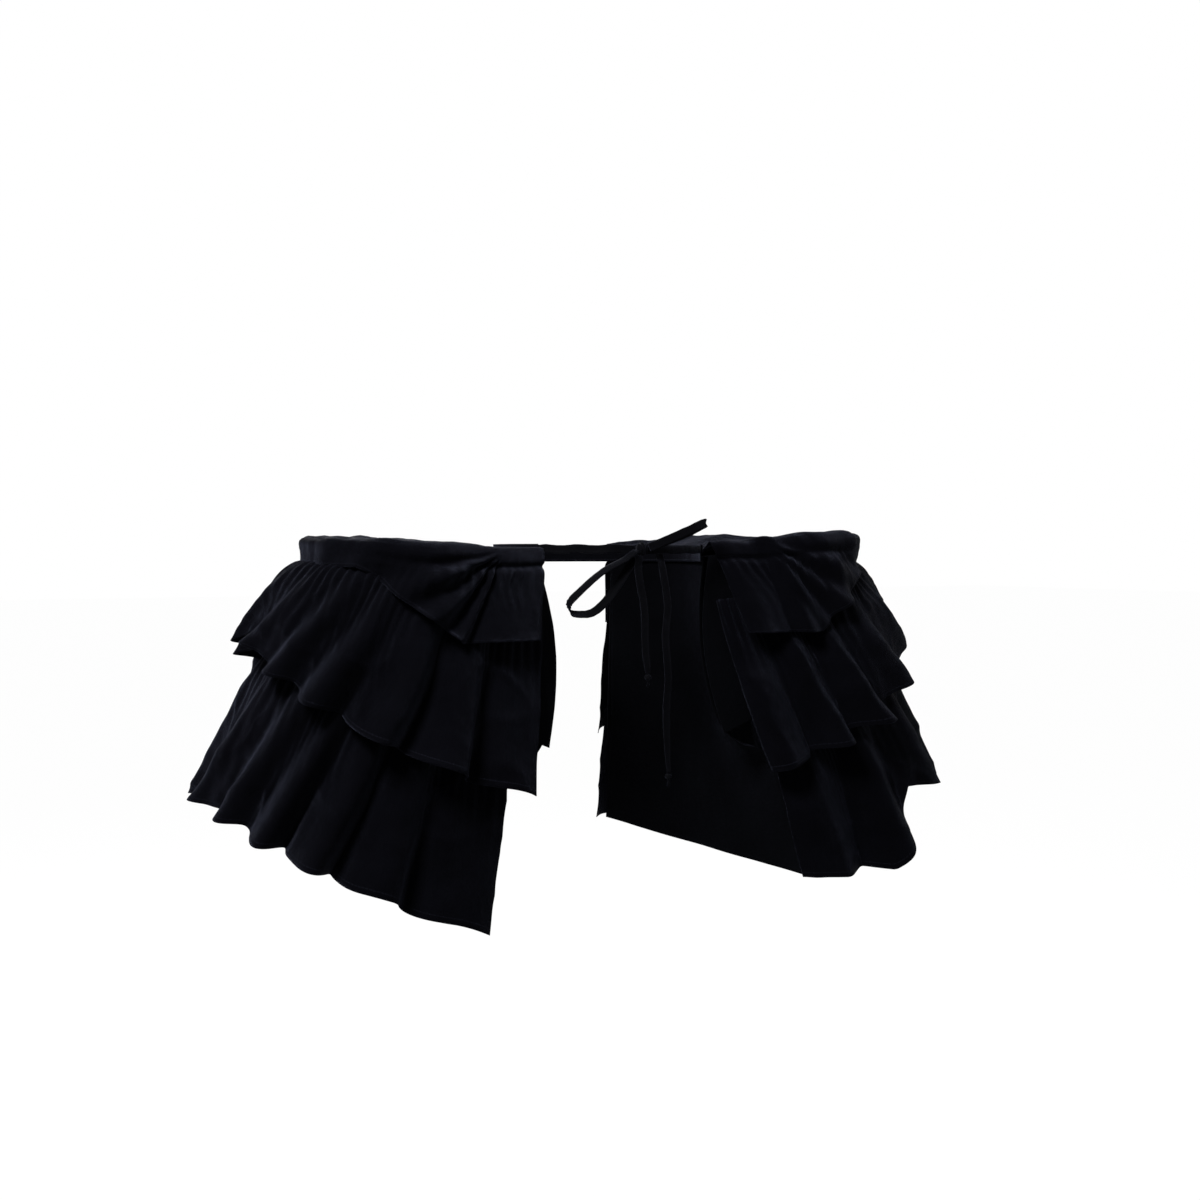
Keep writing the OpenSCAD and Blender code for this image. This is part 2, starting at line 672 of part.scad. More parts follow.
black() right() middle_flounce_right();  // right_middle_flounce
black() middle_flounce_left();  // left_middle_flounce
black() right() bottom_flounce_right();  // right_bottom_flounce
black() bottom_flounce_left();  // left_bottom_flounce
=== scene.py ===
# %% [markdown]
# # A hip pannier in black cotton
# A pannier is worn under a skirt to hold it out over the hips. This one is two pockets that flat hoops
# hold open, on one waistband, and each pocket is dressed with three gathered flounces. It ties in a bow
# at the front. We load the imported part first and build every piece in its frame, in metres, so nothing
# is fitted afterwards.
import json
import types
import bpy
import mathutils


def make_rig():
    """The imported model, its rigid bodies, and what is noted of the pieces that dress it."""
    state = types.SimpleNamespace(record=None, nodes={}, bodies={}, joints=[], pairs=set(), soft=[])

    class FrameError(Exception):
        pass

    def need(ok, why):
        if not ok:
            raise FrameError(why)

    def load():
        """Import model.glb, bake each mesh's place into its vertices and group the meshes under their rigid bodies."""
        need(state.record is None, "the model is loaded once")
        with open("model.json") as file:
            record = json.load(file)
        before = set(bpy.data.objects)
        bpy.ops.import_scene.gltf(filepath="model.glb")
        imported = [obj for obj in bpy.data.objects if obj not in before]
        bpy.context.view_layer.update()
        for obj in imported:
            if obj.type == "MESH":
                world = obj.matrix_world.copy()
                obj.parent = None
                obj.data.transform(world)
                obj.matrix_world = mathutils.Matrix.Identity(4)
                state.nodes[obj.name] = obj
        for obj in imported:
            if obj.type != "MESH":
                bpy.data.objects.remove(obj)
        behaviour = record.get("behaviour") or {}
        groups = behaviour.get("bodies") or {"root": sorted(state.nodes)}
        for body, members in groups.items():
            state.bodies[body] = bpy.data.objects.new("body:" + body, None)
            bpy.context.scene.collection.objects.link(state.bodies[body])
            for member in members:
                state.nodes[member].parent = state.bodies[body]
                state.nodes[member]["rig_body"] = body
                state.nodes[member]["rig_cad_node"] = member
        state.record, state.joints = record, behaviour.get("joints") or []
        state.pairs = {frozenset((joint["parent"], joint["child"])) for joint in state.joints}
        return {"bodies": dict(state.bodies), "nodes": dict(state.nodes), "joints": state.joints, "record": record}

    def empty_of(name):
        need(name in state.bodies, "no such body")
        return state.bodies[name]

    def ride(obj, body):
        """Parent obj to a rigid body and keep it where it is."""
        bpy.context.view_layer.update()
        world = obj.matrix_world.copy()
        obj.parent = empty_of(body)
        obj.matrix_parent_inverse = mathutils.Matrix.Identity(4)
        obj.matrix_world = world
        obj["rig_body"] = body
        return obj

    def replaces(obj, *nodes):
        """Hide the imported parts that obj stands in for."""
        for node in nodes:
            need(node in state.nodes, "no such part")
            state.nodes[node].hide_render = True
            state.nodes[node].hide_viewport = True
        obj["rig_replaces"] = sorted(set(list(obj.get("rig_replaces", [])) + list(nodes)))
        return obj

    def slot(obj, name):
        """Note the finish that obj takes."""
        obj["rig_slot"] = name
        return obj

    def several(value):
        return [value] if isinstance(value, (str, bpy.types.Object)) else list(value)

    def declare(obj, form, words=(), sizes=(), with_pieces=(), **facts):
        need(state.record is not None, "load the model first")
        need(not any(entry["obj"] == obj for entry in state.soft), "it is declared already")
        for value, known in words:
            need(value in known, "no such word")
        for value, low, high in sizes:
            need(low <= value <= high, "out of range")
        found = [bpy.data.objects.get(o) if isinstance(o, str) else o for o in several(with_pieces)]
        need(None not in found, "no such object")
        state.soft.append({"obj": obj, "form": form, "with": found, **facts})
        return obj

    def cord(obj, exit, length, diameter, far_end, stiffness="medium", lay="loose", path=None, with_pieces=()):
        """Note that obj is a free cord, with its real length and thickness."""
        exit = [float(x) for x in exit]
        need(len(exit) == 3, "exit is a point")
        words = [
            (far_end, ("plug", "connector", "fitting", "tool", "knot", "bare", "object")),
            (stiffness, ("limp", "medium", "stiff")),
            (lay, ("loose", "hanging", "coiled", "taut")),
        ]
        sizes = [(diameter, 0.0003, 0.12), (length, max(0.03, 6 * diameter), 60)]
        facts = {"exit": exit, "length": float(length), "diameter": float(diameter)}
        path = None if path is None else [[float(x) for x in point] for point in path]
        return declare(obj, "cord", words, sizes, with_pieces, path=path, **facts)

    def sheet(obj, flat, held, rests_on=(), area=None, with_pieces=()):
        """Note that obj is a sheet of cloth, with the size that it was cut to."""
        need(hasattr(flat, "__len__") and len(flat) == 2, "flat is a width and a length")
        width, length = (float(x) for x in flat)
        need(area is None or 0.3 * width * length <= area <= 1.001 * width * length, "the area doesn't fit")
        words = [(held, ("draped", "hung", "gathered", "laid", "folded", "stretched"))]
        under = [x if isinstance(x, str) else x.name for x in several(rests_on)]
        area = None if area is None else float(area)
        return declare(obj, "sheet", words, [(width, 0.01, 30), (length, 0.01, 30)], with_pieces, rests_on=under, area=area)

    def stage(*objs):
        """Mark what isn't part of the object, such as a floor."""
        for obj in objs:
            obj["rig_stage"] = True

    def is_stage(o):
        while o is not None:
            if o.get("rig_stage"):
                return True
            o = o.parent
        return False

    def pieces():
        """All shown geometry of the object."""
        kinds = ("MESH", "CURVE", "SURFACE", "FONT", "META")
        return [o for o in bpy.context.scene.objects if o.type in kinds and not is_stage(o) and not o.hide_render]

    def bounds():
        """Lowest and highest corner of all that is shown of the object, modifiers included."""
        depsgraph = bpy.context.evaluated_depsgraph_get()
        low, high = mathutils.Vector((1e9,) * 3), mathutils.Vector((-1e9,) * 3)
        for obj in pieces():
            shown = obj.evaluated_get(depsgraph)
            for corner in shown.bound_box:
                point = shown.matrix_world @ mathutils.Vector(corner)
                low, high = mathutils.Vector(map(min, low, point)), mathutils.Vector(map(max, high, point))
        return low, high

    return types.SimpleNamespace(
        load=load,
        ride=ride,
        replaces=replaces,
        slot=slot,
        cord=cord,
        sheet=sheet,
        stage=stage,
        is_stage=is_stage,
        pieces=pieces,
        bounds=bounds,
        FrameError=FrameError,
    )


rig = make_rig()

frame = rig.load()

import functools
import json
import math

import bmesh
import bpy
from mathutils import Vector, noise

cad_box = [[float(value) for value in corner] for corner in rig.bounds()]
print("nodes", sorted(frame["nodes"]))
print("CAD box", cad_box)

# %% [markdown]
# ## The camera
# The picture looks at the pannier's right front, level with the waist, from about a step and a half away.
# A camera needs a place, a direction and a lens. We turn it with a track quaternion, which points its own
# -Z axis along the view and keeps its Y axis up, so no angle has to be worked out by hand.

# %% Camera
camera_data = bpy.data.cameras.new("studio_camera")
camera_data.sensor_width = 36
camera_data.lens = 36.42
studio_camera = bpy.data.objects.new("studio_camera", camera_data)
bpy.context.collection.objects.link(studio_camera)
studio_camera.location = (-0.6356, -1.2474, -0.01)
view_direction = Vector((0.454, 0.891, -0.0371))
studio_camera.rotation_euler = view_direction.to_track_quat("-Z", "Y").to_euler()
bpy.context.scene.camera = studio_camera
print("camera at", tuple(studio_camera.location))

# %% [markdown]
# ## Floor, light and view
# The pannier hangs at waist height over a plain pale floor. Rays from the camera, and those that a glossy
# or clear surface sends on, see the world as plain white. Every other ray sees a dimmer one, so the ground
# stays white and the cloth is lit by the lamps and a little sky. Wide lamps give the soft edges of shadow
# that a studio has.

# %% Floor and world
scene = bpy.context.scene
scene.view_settings.view_transform = "Standard"


def add_node(tree, kind, **settings):
    node = tree.nodes.new(kind)
    for key, value in settings.items():
        setattr(node, key, value)
    return node


def seen_directly(tree):
    path = add_node(tree, "ShaderNodeLightPath")
    glossy = add_node(tree, "ShaderNodeMath", operation="MAXIMUM")
    clear = add_node(tree, "ShaderNodeMath", operation="MAXIMUM")
    tree.links.new(path.outputs["Is Camera Ray"], glossy.inputs[0])
    tree.links.new(path.outputs["Is Glossy Ray"], glossy.inputs[1])
    tree.links.new(glossy.outputs[0], clear.inputs[0])
    tree.links.new(path.outputs["Is Transmission Ray"], clear.inputs[1])
    return clear.outputs[0]


def blend_shaders(tree, first, second, share):
    mixed = add_node(tree, "ShaderNodeMixShader")
    tree.links.new(share, mixed.inputs[0])
    tree.links.new(first.outputs[0], mixed.inputs[1])
    tree.links.new(second.outputs[0], mixed.inputs[2])
    return mixed


world = bpy.data.worlds.new("studio")
world.use_nodes = True
scene.world = world
world.node_tree.nodes.clear()
soft_sky = add_node(world.node_tree, "ShaderNodeBackground")
soft_sky.inputs["Strength"].default_value = 0.08
soft_sky.inputs["Color"].default_value = (1, 1, 1, 1)
white_ground = add_node(world.node_tree, "ShaderNodeBackground")
white_ground.inputs["Color"].default_value = (1, 1, 1, 1)
world_out = add_node(world.node_tree, "ShaderNodeOutputWorld")
mixed_world = blend_shaders(world.node_tree, soft_sky, white_ground, seen_directly(world.node_tree))
world.node_tree.links.new(mixed_world.outputs[0], world_out.inputs["Surface"])


def new_object(name, mesh):
    made = bpy.data.objects.new(name, mesh)
    bpy.context.collection.objects.link(made)
    return made


floor_z = -1.05
floor_half_width = 30
floor_bm = bmesh.new()
bmesh.ops.create_grid(floor_bm, x_segments=1, y_segments=1, size=floor_half_width)
bmesh.ops.translate(floor_bm, verts=floor_bm.verts, vec=(0, 0, floor_z))
floor_mesh = bpy.data.meshes.new("floor")
floor_bm.to_mesh(floor_mesh)
floor_bm.free()
floor = new_object("floor", floor_mesh)
floor_paint = bpy.data.materials.new("pale_floor")
floor_paint.use_nodes = True
floor_paint.node_tree.nodes.clear()
matt_paint = add_node(floor_paint.node_tree, "ShaderNodeBsdfDiffuse")
matt_paint.inputs["Color"].default_value = (0.55, 0.55, 0.55, 1)
white_glow = add_node(floor_paint.node_tree, "ShaderNodeEmission")
white_glow.inputs["Strength"].default_value = 1.07
glow_share = 0.92
glow_seen = add_node(floor_paint.node_tree, "ShaderNodeMath", operation="MULTIPLY")
glow_seen.inputs[1].default_value = glow_share
floor_paint.node_tree.links.new(seen_directly(floor_paint.node_tree), glow_seen.inputs[0])
floor_out = add_node(floor_paint.node_tree, "ShaderNodeOutputMaterial")
mixed_floor = blend_shaders(floor_paint.node_tree, matt_paint, white_glow, glow_seen.outputs[0])
floor_paint.node_tree.links.new(mixed_floor.outputs[0], floor_out.inputs["Surface"])
floor_mesh.materials.append(floor_paint)
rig.stage(floor)
print("floor at", floor_z)


# %% Lamps
lamp_aim = Vector((0, 0, -0.15))


def add_lamp(name, place, size, power):
    lamp = bpy.data.lights.new(name, "AREA")
    lamp.size = size
    lamp.energy = power
    holder = new_object(name, lamp)
    holder.location = place
    holder.rotation_euler = (lamp_aim - Vector(place)).to_track_quat("-Z", "Y").to_euler()
    return holder


add_lamp("key_lamp", (-1.15, -0.85, 1.05), 0.5, 48)
add_lamp("fill_lamp", (2.4, 0.1, 0.9), 2.0, 14)
add_lamp("back_lamp", (0.4, 2.4, 1.5), 2.0, 45)
print("lamps", [lamp.name for lamp in bpy.data.lights])

# %% [markdown]
# ## Cloth finishes
# The pannier is sewn from plain cotton dyed near black. Close up it is a grid of threads, from a step away
# it has a faint cool bloom along its folds, and its hems are turned and stitched. The cut of each piece is
# laid out in a UV map in metres, so one material draws threads, stitches and the worn hem at the right size
# on every piece. Bump nodes carry threads and crumples, and the sheen is set on the shader itself.

# %% Cloth finish
def math_node(tree, operation, first, second=None):
    node = add_node(tree, "ShaderNodeMath", operation=operation)
    for socket, value in zip(node.inputs, (first, second)):
        if isinstance(value, (int, float)):
            socket.default_value = value
        elif value is not None:
            tree.links.new(value, socket)
    return node.outputs[0]


def mix_colour(tree, share, first, second):
    node = add_node(tree, "ShaderNodeMix", data_type="RGBA")
    tree.links.new(share, node.inputs["Factor"])
    for socket, value in ((node.inputs[6], first), (node.inputs[7], second)):
        if isinstance(value, tuple):
            socket.default_value = (*value, 1)
        else:
            tree.links.new(value, socket)
    return node.outputs[2]


def bump_node(tree, height, distance, below=None):
    node = add_node(tree, "ShaderNodeBump")
    node.inputs["Strength"].default_value = 0.9
    node.inputs["Distance"].default_value = distance
    tree.links.new(height, node.inputs["Height"])
    if below is not None:
        tree.links.new(below, node.inputs["Normal"])
    return node.outputs["Normal"]


stitch_long, stitch_gap, thread_half_width = 0.0034, 0.22, 0.0005


def stitch_mask(tree, along, up, rows):
    beat = math_node(tree, "FRACT", math_node(tree, "DIVIDE", along, stitch_long))
    dash = math_node(tree, "GREATER_THAN", beat, stitch_gap)
    mask = None
    for row in rows:
        off = math_node(tree, "ABSOLUTE", math_node(tree, "SUBTRACT", up, row))
        line = math_node(tree, "LESS_THAN", off, thread_half_width)
        mask = line if mask is None else math_node(tree, "MAXIMUM", mask, line)
    return math_node(tree, "MULTIPLY", mask, dash)


wear_height, stitch_brightness = 1 / 320, 1.6
crumple_bump, thread_bump, stitch_bump = 0.0016, 0.00012, 0.0005
cotton_rough, rough_range = 0.6, 0.2


def cloth_finish(name, dye, faded, thread=0.0007, sheen=0.055, stitch_rows=(), diagonal=False):
    made = bpy.data.materials.new(name)
    made.use_nodes = True
    tree = made.node_tree
    shader = tree.nodes["Principled BSDF"]
    shader.inputs["Specular IOR Level"].default_value = 0.005
    shader.inputs["Sheen Weight"].default_value = sheen
    shader.inputs["Sheen Roughness"].default_value = 0.35
    shader.inputs["Sheen Tint"].default_value = (0.62, 0.68, 1.0, 1)
    cut = add_node(tree, "ShaderNodeUVMap", uv_map="cut")
    place = add_node(tree, "ShaderNodeTexCoord")
    sides = add_node(tree, "ShaderNodeSeparateXYZ")
    tree.links.new(cut.outputs["UV"], sides.inputs[0])
    along, up = sides.outputs["X"], sides.outputs["Y"]
    turn = 2 * math.pi / thread
    warp = math_node(tree, "SINE", math_node(tree, "MULTIPLY", along, turn))
    if diagonal:
        slant = math_node(tree, "ADD", along, math_node(tree, "MULTIPLY", up, 0.8))
        weft = math_node(tree, "SINE", math_node(tree, "MULTIPLY", slant, turn / 2))
    else:
        weft = math_node(tree, "SINE", math_node(tree, "MULTIPLY", up, turn))
    threads = math_node(tree, "MULTIPLY", warp, weft)
    slubs = add_node(tree, "ShaderNodeTexNoise")
    slubs.inputs["Scale"].default_value = 260
    slubs.inputs["Detail"].default_value = 3
    crumple = add_node(tree, "ShaderNodeTexNoise")
    crumple.inputs["Scale"].default_value = 70
    crumple.inputs["Detail"].default_value = 5
    crumple.inputs["Roughness"].default_value = 0.55
    cloud = add_node(tree, "ShaderNodeTexNoise")
    cloud.inputs["Scale"].default_value = 14
    cloud.inputs["Detail"].default_value = 4
    for texture in (slubs, crumple, cloud):
        tree.links.new(place.outputs["Object"], texture.inputs["Vector"])
    hem_wear = math_node(tree, "SUBTRACT", 1, math_node(tree, "DIVIDE", up, wear_height))
    worn = math_node(tree, "MULTIPLY", math_node(tree, "MAXIMUM", hem_wear, 0), slubs.outputs["Fac"])
    patchy = math_node(tree, "MULTIPLY", math_node(tree, "SUBTRACT", cloud.outputs["Fac"], 0.32), 1.5)
    fading = math_node(tree, "ADD", math_node(tree, "MAXIMUM", patchy, 0), worn)
    colour = mix_colour(tree, math_node(tree, "MINIMUM", fading, 1), dye, faded)
    normal = bump_node(tree, crumple.outputs["Fac"], crumple_bump)
    normal = bump_node(tree, threads, thread_bump, normal)
    if stitch_rows:
        mask = stitch_mask(tree, along, up, stitch_rows)
        colour = mix_colour(tree, mask, colour, tuple(stitch_brightness * value for value in faded))
        normal = bump_node(tree, mask, stitch_bump, normal)
    uneven = math_node(tree, "MULTIPLY", slubs.outputs["Fac"], rough_range)
    roughness = math_node(tree, "ADD", uneven, cotton_rough - rough_range / 2)
    tree.links.new(colour, shader.inputs["Base Color"])
    tree.links.new(roughness, shader.inputs["Roughness"])
    tree.links.new(normal, shader.inputs["Normal"])
    return made


flounce_cotton = cloth_finish(
    "flounce_cotton", (0.0011, 0.0011, 0.0017), (0.0029, 0.003, 0.0046), stitch_rows=(0.006,)
)
lining_dye, lining_faded, lining_sheen = (0.0012, 0.0013, 0.0018), (0.0026, 0.0028, 0.0038), 0.012
base_cotton = cloth_finish("base_cotton", lining_dye, lining_faded, sheen=lining_sheen)
panel_cotton = cloth_finish(
    "panel_cotton", lining_dye, lining_faded, sheen=lining_sheen, stitch_rows=(0.008,)
)
band_cotton = cloth_finish(
    "band_cotton", (0.0016, 0.0017, 0.0024), (0.004, 0.0042, 0.006), stitch_rows=(0.0022, 0.0176)
)
tape_twill = cloth_finish(
    "tape_twill", (0.002, 0.0021, 0.0027), (0.005, 0.0051, 0.0064), thread=0.0009, diagonal=True
)
casing_cotton = cloth_finish("casing_cotton", (0.004, 0.004, 0.005), (0.008, 0.008, 0.01), sheen=0.03)
print("finishes", [made.name for made in bpy.data.materials if made.name.endswith(("cotton", "twill"))])

# %% [markdown]
# ## The tape of the bow
# The bow is flat cotton tape about 9 mm wide. Each loop and tail is a cord of fixed length that leaves the
# knot, so its route comes first: a few points, and a smooth curve through them. A curve object with a round
# bevel would make a string, so a grid is laid along the route instead, its width turned from one direction
# to another, and Solidify gives the tape its thickness. A faint dishing across the width keeps it from
# looking cut from card.

# %% Tape helpers
def mix(first, second, share):
    return first + (second - first) * share


def smooth_step(points, k, t):
    """A place on the smooth curve through the points, at a share of the way from point k to the next."""
    before, start, end, after = (points[min(max(k + d, 0), len(points) - 1)] for d in (-1, 0, 1, 2))
    return 0.5 * (2 * start + (end - before) * t + (2 * before - 5 * start + 4 * end - after) * t * t
                  + (3 * start - before - 3 * end + after) * t * t * t)


def smooth_route(points, steps):
    knots = [Vector(point) for point in points]
    route = [smooth_step(knots, k, step / steps) for k in range(len(knots) - 1) for step in range(steps)]
    return route + [knots[-1]]


def route_length(route):
    return sum((b - a).length for a, b in zip(route, route[1:]))


def cloth_object(name, bm, finish):
    """Make a bmesh a smooth object with a finish, and ride it on the part."""
    mesh = bpy.data.meshes.new(name)
    bm.to_mesh(mesh)
    bm.free()
    mesh.materials.append(finish)
    mesh.polygons.foreach_set("use_smooth", [True] * len(mesh.polygons))
    made = new_object(name, mesh)
    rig.ride(made, "root")
    return made


def sheet_object(name, bm, thickness, finish):
    made = cloth_object(name, bm, finish)
    wall = made.modifiers.new("thickness", "SOLIDIFY")
    wall.thickness = thickness
    wall.offset = 0
    return made


def stands_for(made, node, slot):
    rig.replaces(made, node)
    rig.slot(made, slot)


def mapped_grid(columns, rows, place, size):
    """A grid whose points go to place(s, v), with s and v from 0 to 1, and a UV map of its flat size."""
    bm = bmesh.new()
    bmesh.ops.create_grid(bm, x_segments=columns, y_segments=rows, size=0.5)
    shares = {vert: (vert.co.x + 0.5, vert.co.y + 0.5) for vert in bm.verts}
    cut = bm.loops.layers.uv.new("cut")
    for face in bm.faces:
        for corner in face.loops:
            s, v = shares[corner.vert]
            corner[cut].uv = (s * size[0], (1 - v) * size[1])
    for vert, (s, v) in shares.items():
        vert.co = place(min(max(s, 0), 1), min(max(v, 0), 1))
    return bm


tape_width, tape_thickness = 0.0092, 0.001
tape_cell, tape_rows = 0.0011, 8
tip_start, tip_power = 0.8, 1.5
tape_dish, tape_ripple, edge_ripple = 0.0005, 0.0007, 0.0003


def tape_frame(route, faces, share):
    spot = share * (len(route) - 1)
    k = min(int(spot), len(route) - 2)
    place = mix(route[k], route[k + 1], spot - k)
    way = (route[min(k + 2, len(route) - 1)] - route[max(k - 1, 0)]).normalized()
    face = mix(Vector(faces[0]), Vector(faces[1]), share)
    across = (face - way * way.dot(face)).normalized()
    return place, across, way.cross(across)


def tape_piece(name, route, faces, seed, tip=1.0):
    long = route_length(route)

    def place(s, v):
        centre, across, up = tape_frame(route, faces, s)
        narrow = mix(1, tip, max(0, (s - tip_start) / (1 - tip_start)) ** tip_power)
        dish = tape_dish * (2 * v - 1) ** 2
        ripple = tape_ripple * noise.noise(Vector((s * long * 60, v * 0.8, seed)))
        edge = edge_ripple * noise.noise(Vector((s * long * 150, v * 3, seed + 5)))
        return centre + across * ((v - 0.5) * tape_width * narrow + edge) + up * (dish + ripple)

    bm = mapped_grid(int(long / tape_cell), tape_rows, place, (long, tape_width))
    return sheet_object(name, bm, tape_thickness, tape_twill)


print("tape is", tape_width, "m wide")

# %% [markdown]
# ## Loops and tails
# One loop falls open beside the tails, and the other is pressed flat and stands a little above the knot. The
# tails hang straight, pinched just above a small overhand knot. Each could be draped by simulation, but a route
# of a few points keeps its place and its length. Each is declared as a cord, as long as its own route.

# %% Routes of the bow
loop_right_route = smooth_route([
    (-0.008, -0.101, -0.005), (-0.022, -0.103, -0.014), (-0.040, -0.105, -0.022), (-0.057, -0.107, -0.031),
    (-0.078, -0.109, -0.047), (-0.091, -0.109, -0.059), (-0.091, -0.109, -0.068), (-0.085, -0.109, -0.072),
    (-0.064, -0.107, -0.071), (-0.045, -0.104, -0.058), (-0.025, -0.100, -0.036), (-0.007, -0.096, -0.013),
], 3)
loop_left_route = smooth_route([
    (0.008, -0.102, -0.002), (0.022, -0.104, 0.0038), (0.040, -0.106, 0.0112), (0.058, -0.107, 0.0185),
    (0.072, -0.107, 0.0245), (0.077, -0.105, 0.025), (0.073, -0.103, 0.0222), (0.058, -0.102, 0.0152),
    (0.040, -0.101, 0.0085), (0.022, -0.099, 0.002), (0.008, -0.097, -0.0035),
], 3)
tail_short_route = smooth_route([
    (-0.004, -0.102, -0.0115), (-0.006, -0.102, -0.023), (-0.004, -0.103, -0.042), (0.000, -0.103, -0.060),
    (0.002, -0.103, -0.081), (0.002, -0.103, -0.102), (0.004, -0.103, -0.124), (0.006, -0.103, -0.139),
], 4)
tail_long_route = smooth_route([
    (0.025, -0.093, -0.009), (0.026, -0.096, -0.018), (0.028, -0.100, -0.039), (0.030, -0.102, -0.056),
    (0.030, -0.103, -0.074), (0.028, -0.103, -0.090), (0.028, -0.103, -0.106), (0.031, -0.103, -0.142),
    (0.029, -0.103, -0.173), (0.029, -0.103, -0.196), (0.030, -0.103, -0.220), (0.032, -0.103, -0.249),
], 3)
flat_up = ((0, 0, 1), (0, 0, 1))
tail_faces, tail_tip = ((1, 0.1, 0), (1, 0.1, 0)), 0.5
loop_right = tape_piece("loop_right_tape", loop_right_route, ((0, 1, 0.4), (0, 0.6, 1)), 1)
loop_left = tape_piece("loop_left_tape", loop_left_route, flat_up, 2)
tail_short = tape_piece("tail_short_tape", tail_short_route, tail_faces, 3, tail_tip)
tail_long = tape_piece("tail_long_tape", tail_long_route, tail_faces, 4, tail_tip)
for made, node in (
    (loop_right, "bow_loop_right"), (loop_left, "bow_loop_left"),
    (tail_short, "tail_short"), (tail_long, "tail_long"),
):
    stands_for(made, node, "tape")
    print(made.name, "takes the place of", node)


# %% Knots on the tails
knot_radius, knot_drop = 0.0036, 0.0039
fray_long, fray_drop, fray_flat = 0.0075, 0.0068, 0.55


def tail_knot(name, top, node):
    """A small overhand knot of tape: a pinched round with a spiral crease, and the frayed end under it."""
    bm = bmesh.new()
    bmesh.ops.create_uvsphere(bm, u_segments=40, v_segments=24, radius=knot_radius)
    for vert in bm.verts:
        turn = math.atan2(vert.co.y, vert.co.x)
        crease = math.cos(2 * turn + vert.co.z * 900)
        vert.co *= 1 + 0.13 * crease + 0.08 * noise.noise(vert.co * 700)
        vert.co.z *= 0.95
    fray = bmesh.ops.create_cone(
        bm, cap_ends=True, segments=20, radius1=0.0019, radius2=0.0014, depth=fray_long
    )["verts"]
    bmesh.ops.translate(bm, verts=fray, vec=(0, 0, -fray_drop))
    for vert in fray:
        vert.co.y *= fray_flat
        vert.co.z += 0.001 * noise.noise(vert.co * 900)
    bmesh.ops.translate(bm, verts=bm.verts, vec=top - Vector((0, 0, knot_drop)))
    cut = bm.loops.layers.uv.new("cut")
    for face in bm.faces:
        for corner in face.loops:
            corner[cut].uv = (corner.vert.co.x + corner.vert.co.y, corner.vert.co.z - top.z + 0.03)
    made = cloth_object(name, bm, tape_twill)
    stands_for(made, node, "tape")
    return made


short_knot = tail_knot("short_tail_knot", tail_short_route[-1], "tail_short_knot")
long_knot = tail_knot("long_tail_knot", tail_long_route[-1], "tail_long_knot")
for made, route, end, pieces in (
    (loop_right, loop_right_route, "object", []), (loop_left, loop_left_route, "object", []),
    (tail_short, tail_short_route, "knot", [short_knot]), (tail_long, tail_long_route, "knot", [long_knot]),
):
    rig.cord(
        made, exit=route[0], length=route_length(route), diameter=tape_width, far_end=end, stiffness="limp",
        lay="hanging", path=route, with_pieces=pieces,
    )
    print(made.name, "is", round(route_length(route), 3), "m long")

# %% [markdown]
# ## Waistband and tie
# The waistband is a straight strip of cotton, folded double and stitched along both edges, open at the front
# where the tie takes over. Both follow one ellipse, so a helper gives a place on it. The band is a grid bent
# round that ellipse, with edges that pucker a little between stitches.

# %% Waistband
waist_half_w, waist_half_d = 0.124, 0.093
band_front_angle = 35
band_top, band_bottom, band_thickness = 0.002, -0.018, 0.0019
band_long, band_wide = 0.5, 0.02
band_out, band_pucker, band_roll = 0.0012, 0.0004, 0.0006


def on_waist(angle, out, z):
    turn = math.radians(angle)
    return Vector(((waist_half_w + out) * math.cos(turn), (waist_half_d + out) * math.sin(turn), z))


def band_place(s, v):
    angle = mix(-band_front_angle, 180 + band_front_angle, s)
    pucker = band_pucker * math.sin(s * 900) * math.cos(math.pi * v) ** 2
    roll = band_roll * noise.noise(Vector((s * 40, v, 3)))
    return on_waist(angle, band_out + pucker + roll, mix(band_top, band_bottom, v))


band_bm = mapped_grid(420, 12, band_place, (band_long, band_wide))
waistband = sheet_object("waistband_cloth", band_bm, band_thickness, band_cotton)
stands_for(waistband, "waistband", "tape")
print("waistband from", band_bottom, "to", band_top, "m")

# %% Tie runs
tie_half_width, tie_drop, tie_sway = 0.0045, 0.0012, 0.0006
tie_z = band_top - tie_half_width - tie_drop
front_angle, knot_half_angle, run_steps = 90, 3.2, 20


def run_route(start, end):
    return [
        on_waist(mix(start, end, k / run_steps), band_out, tie_z + tie_sway * math.sin(k * 0.9))
        for k in range(run_steps + 1)
    ]


right_run_route = run_route(band_front_angle - 180, -(front_angle + knot_half_angle))
left_run_route = run_route(-band_front_angle, -(front_angle - knot_half_angle))
run_right = tape_piece("tie_run_right_tape", right_run_route, flat_up, 6)
run_left = tape_piece("tie_run_left_tape", left_run_route, flat_up, 7)
for made, node in ((run_right, "tie_run_right"), (run_left, "tie_run_left")):
    stands_for(made, node, "tape")
print("tie runs", round(route_length(left_run_route), 3), "m each")

# %% [markdown]
# ## Knot of the bow
# The middle of a bow is one turn of tape over the crossing of loops and tails. It could be tape wound along a
# spiral, but at this size only its wraps show. So a sphere is squeezed into a soft barrel, and deep creases
# that run round and slightly across it show the wraps.

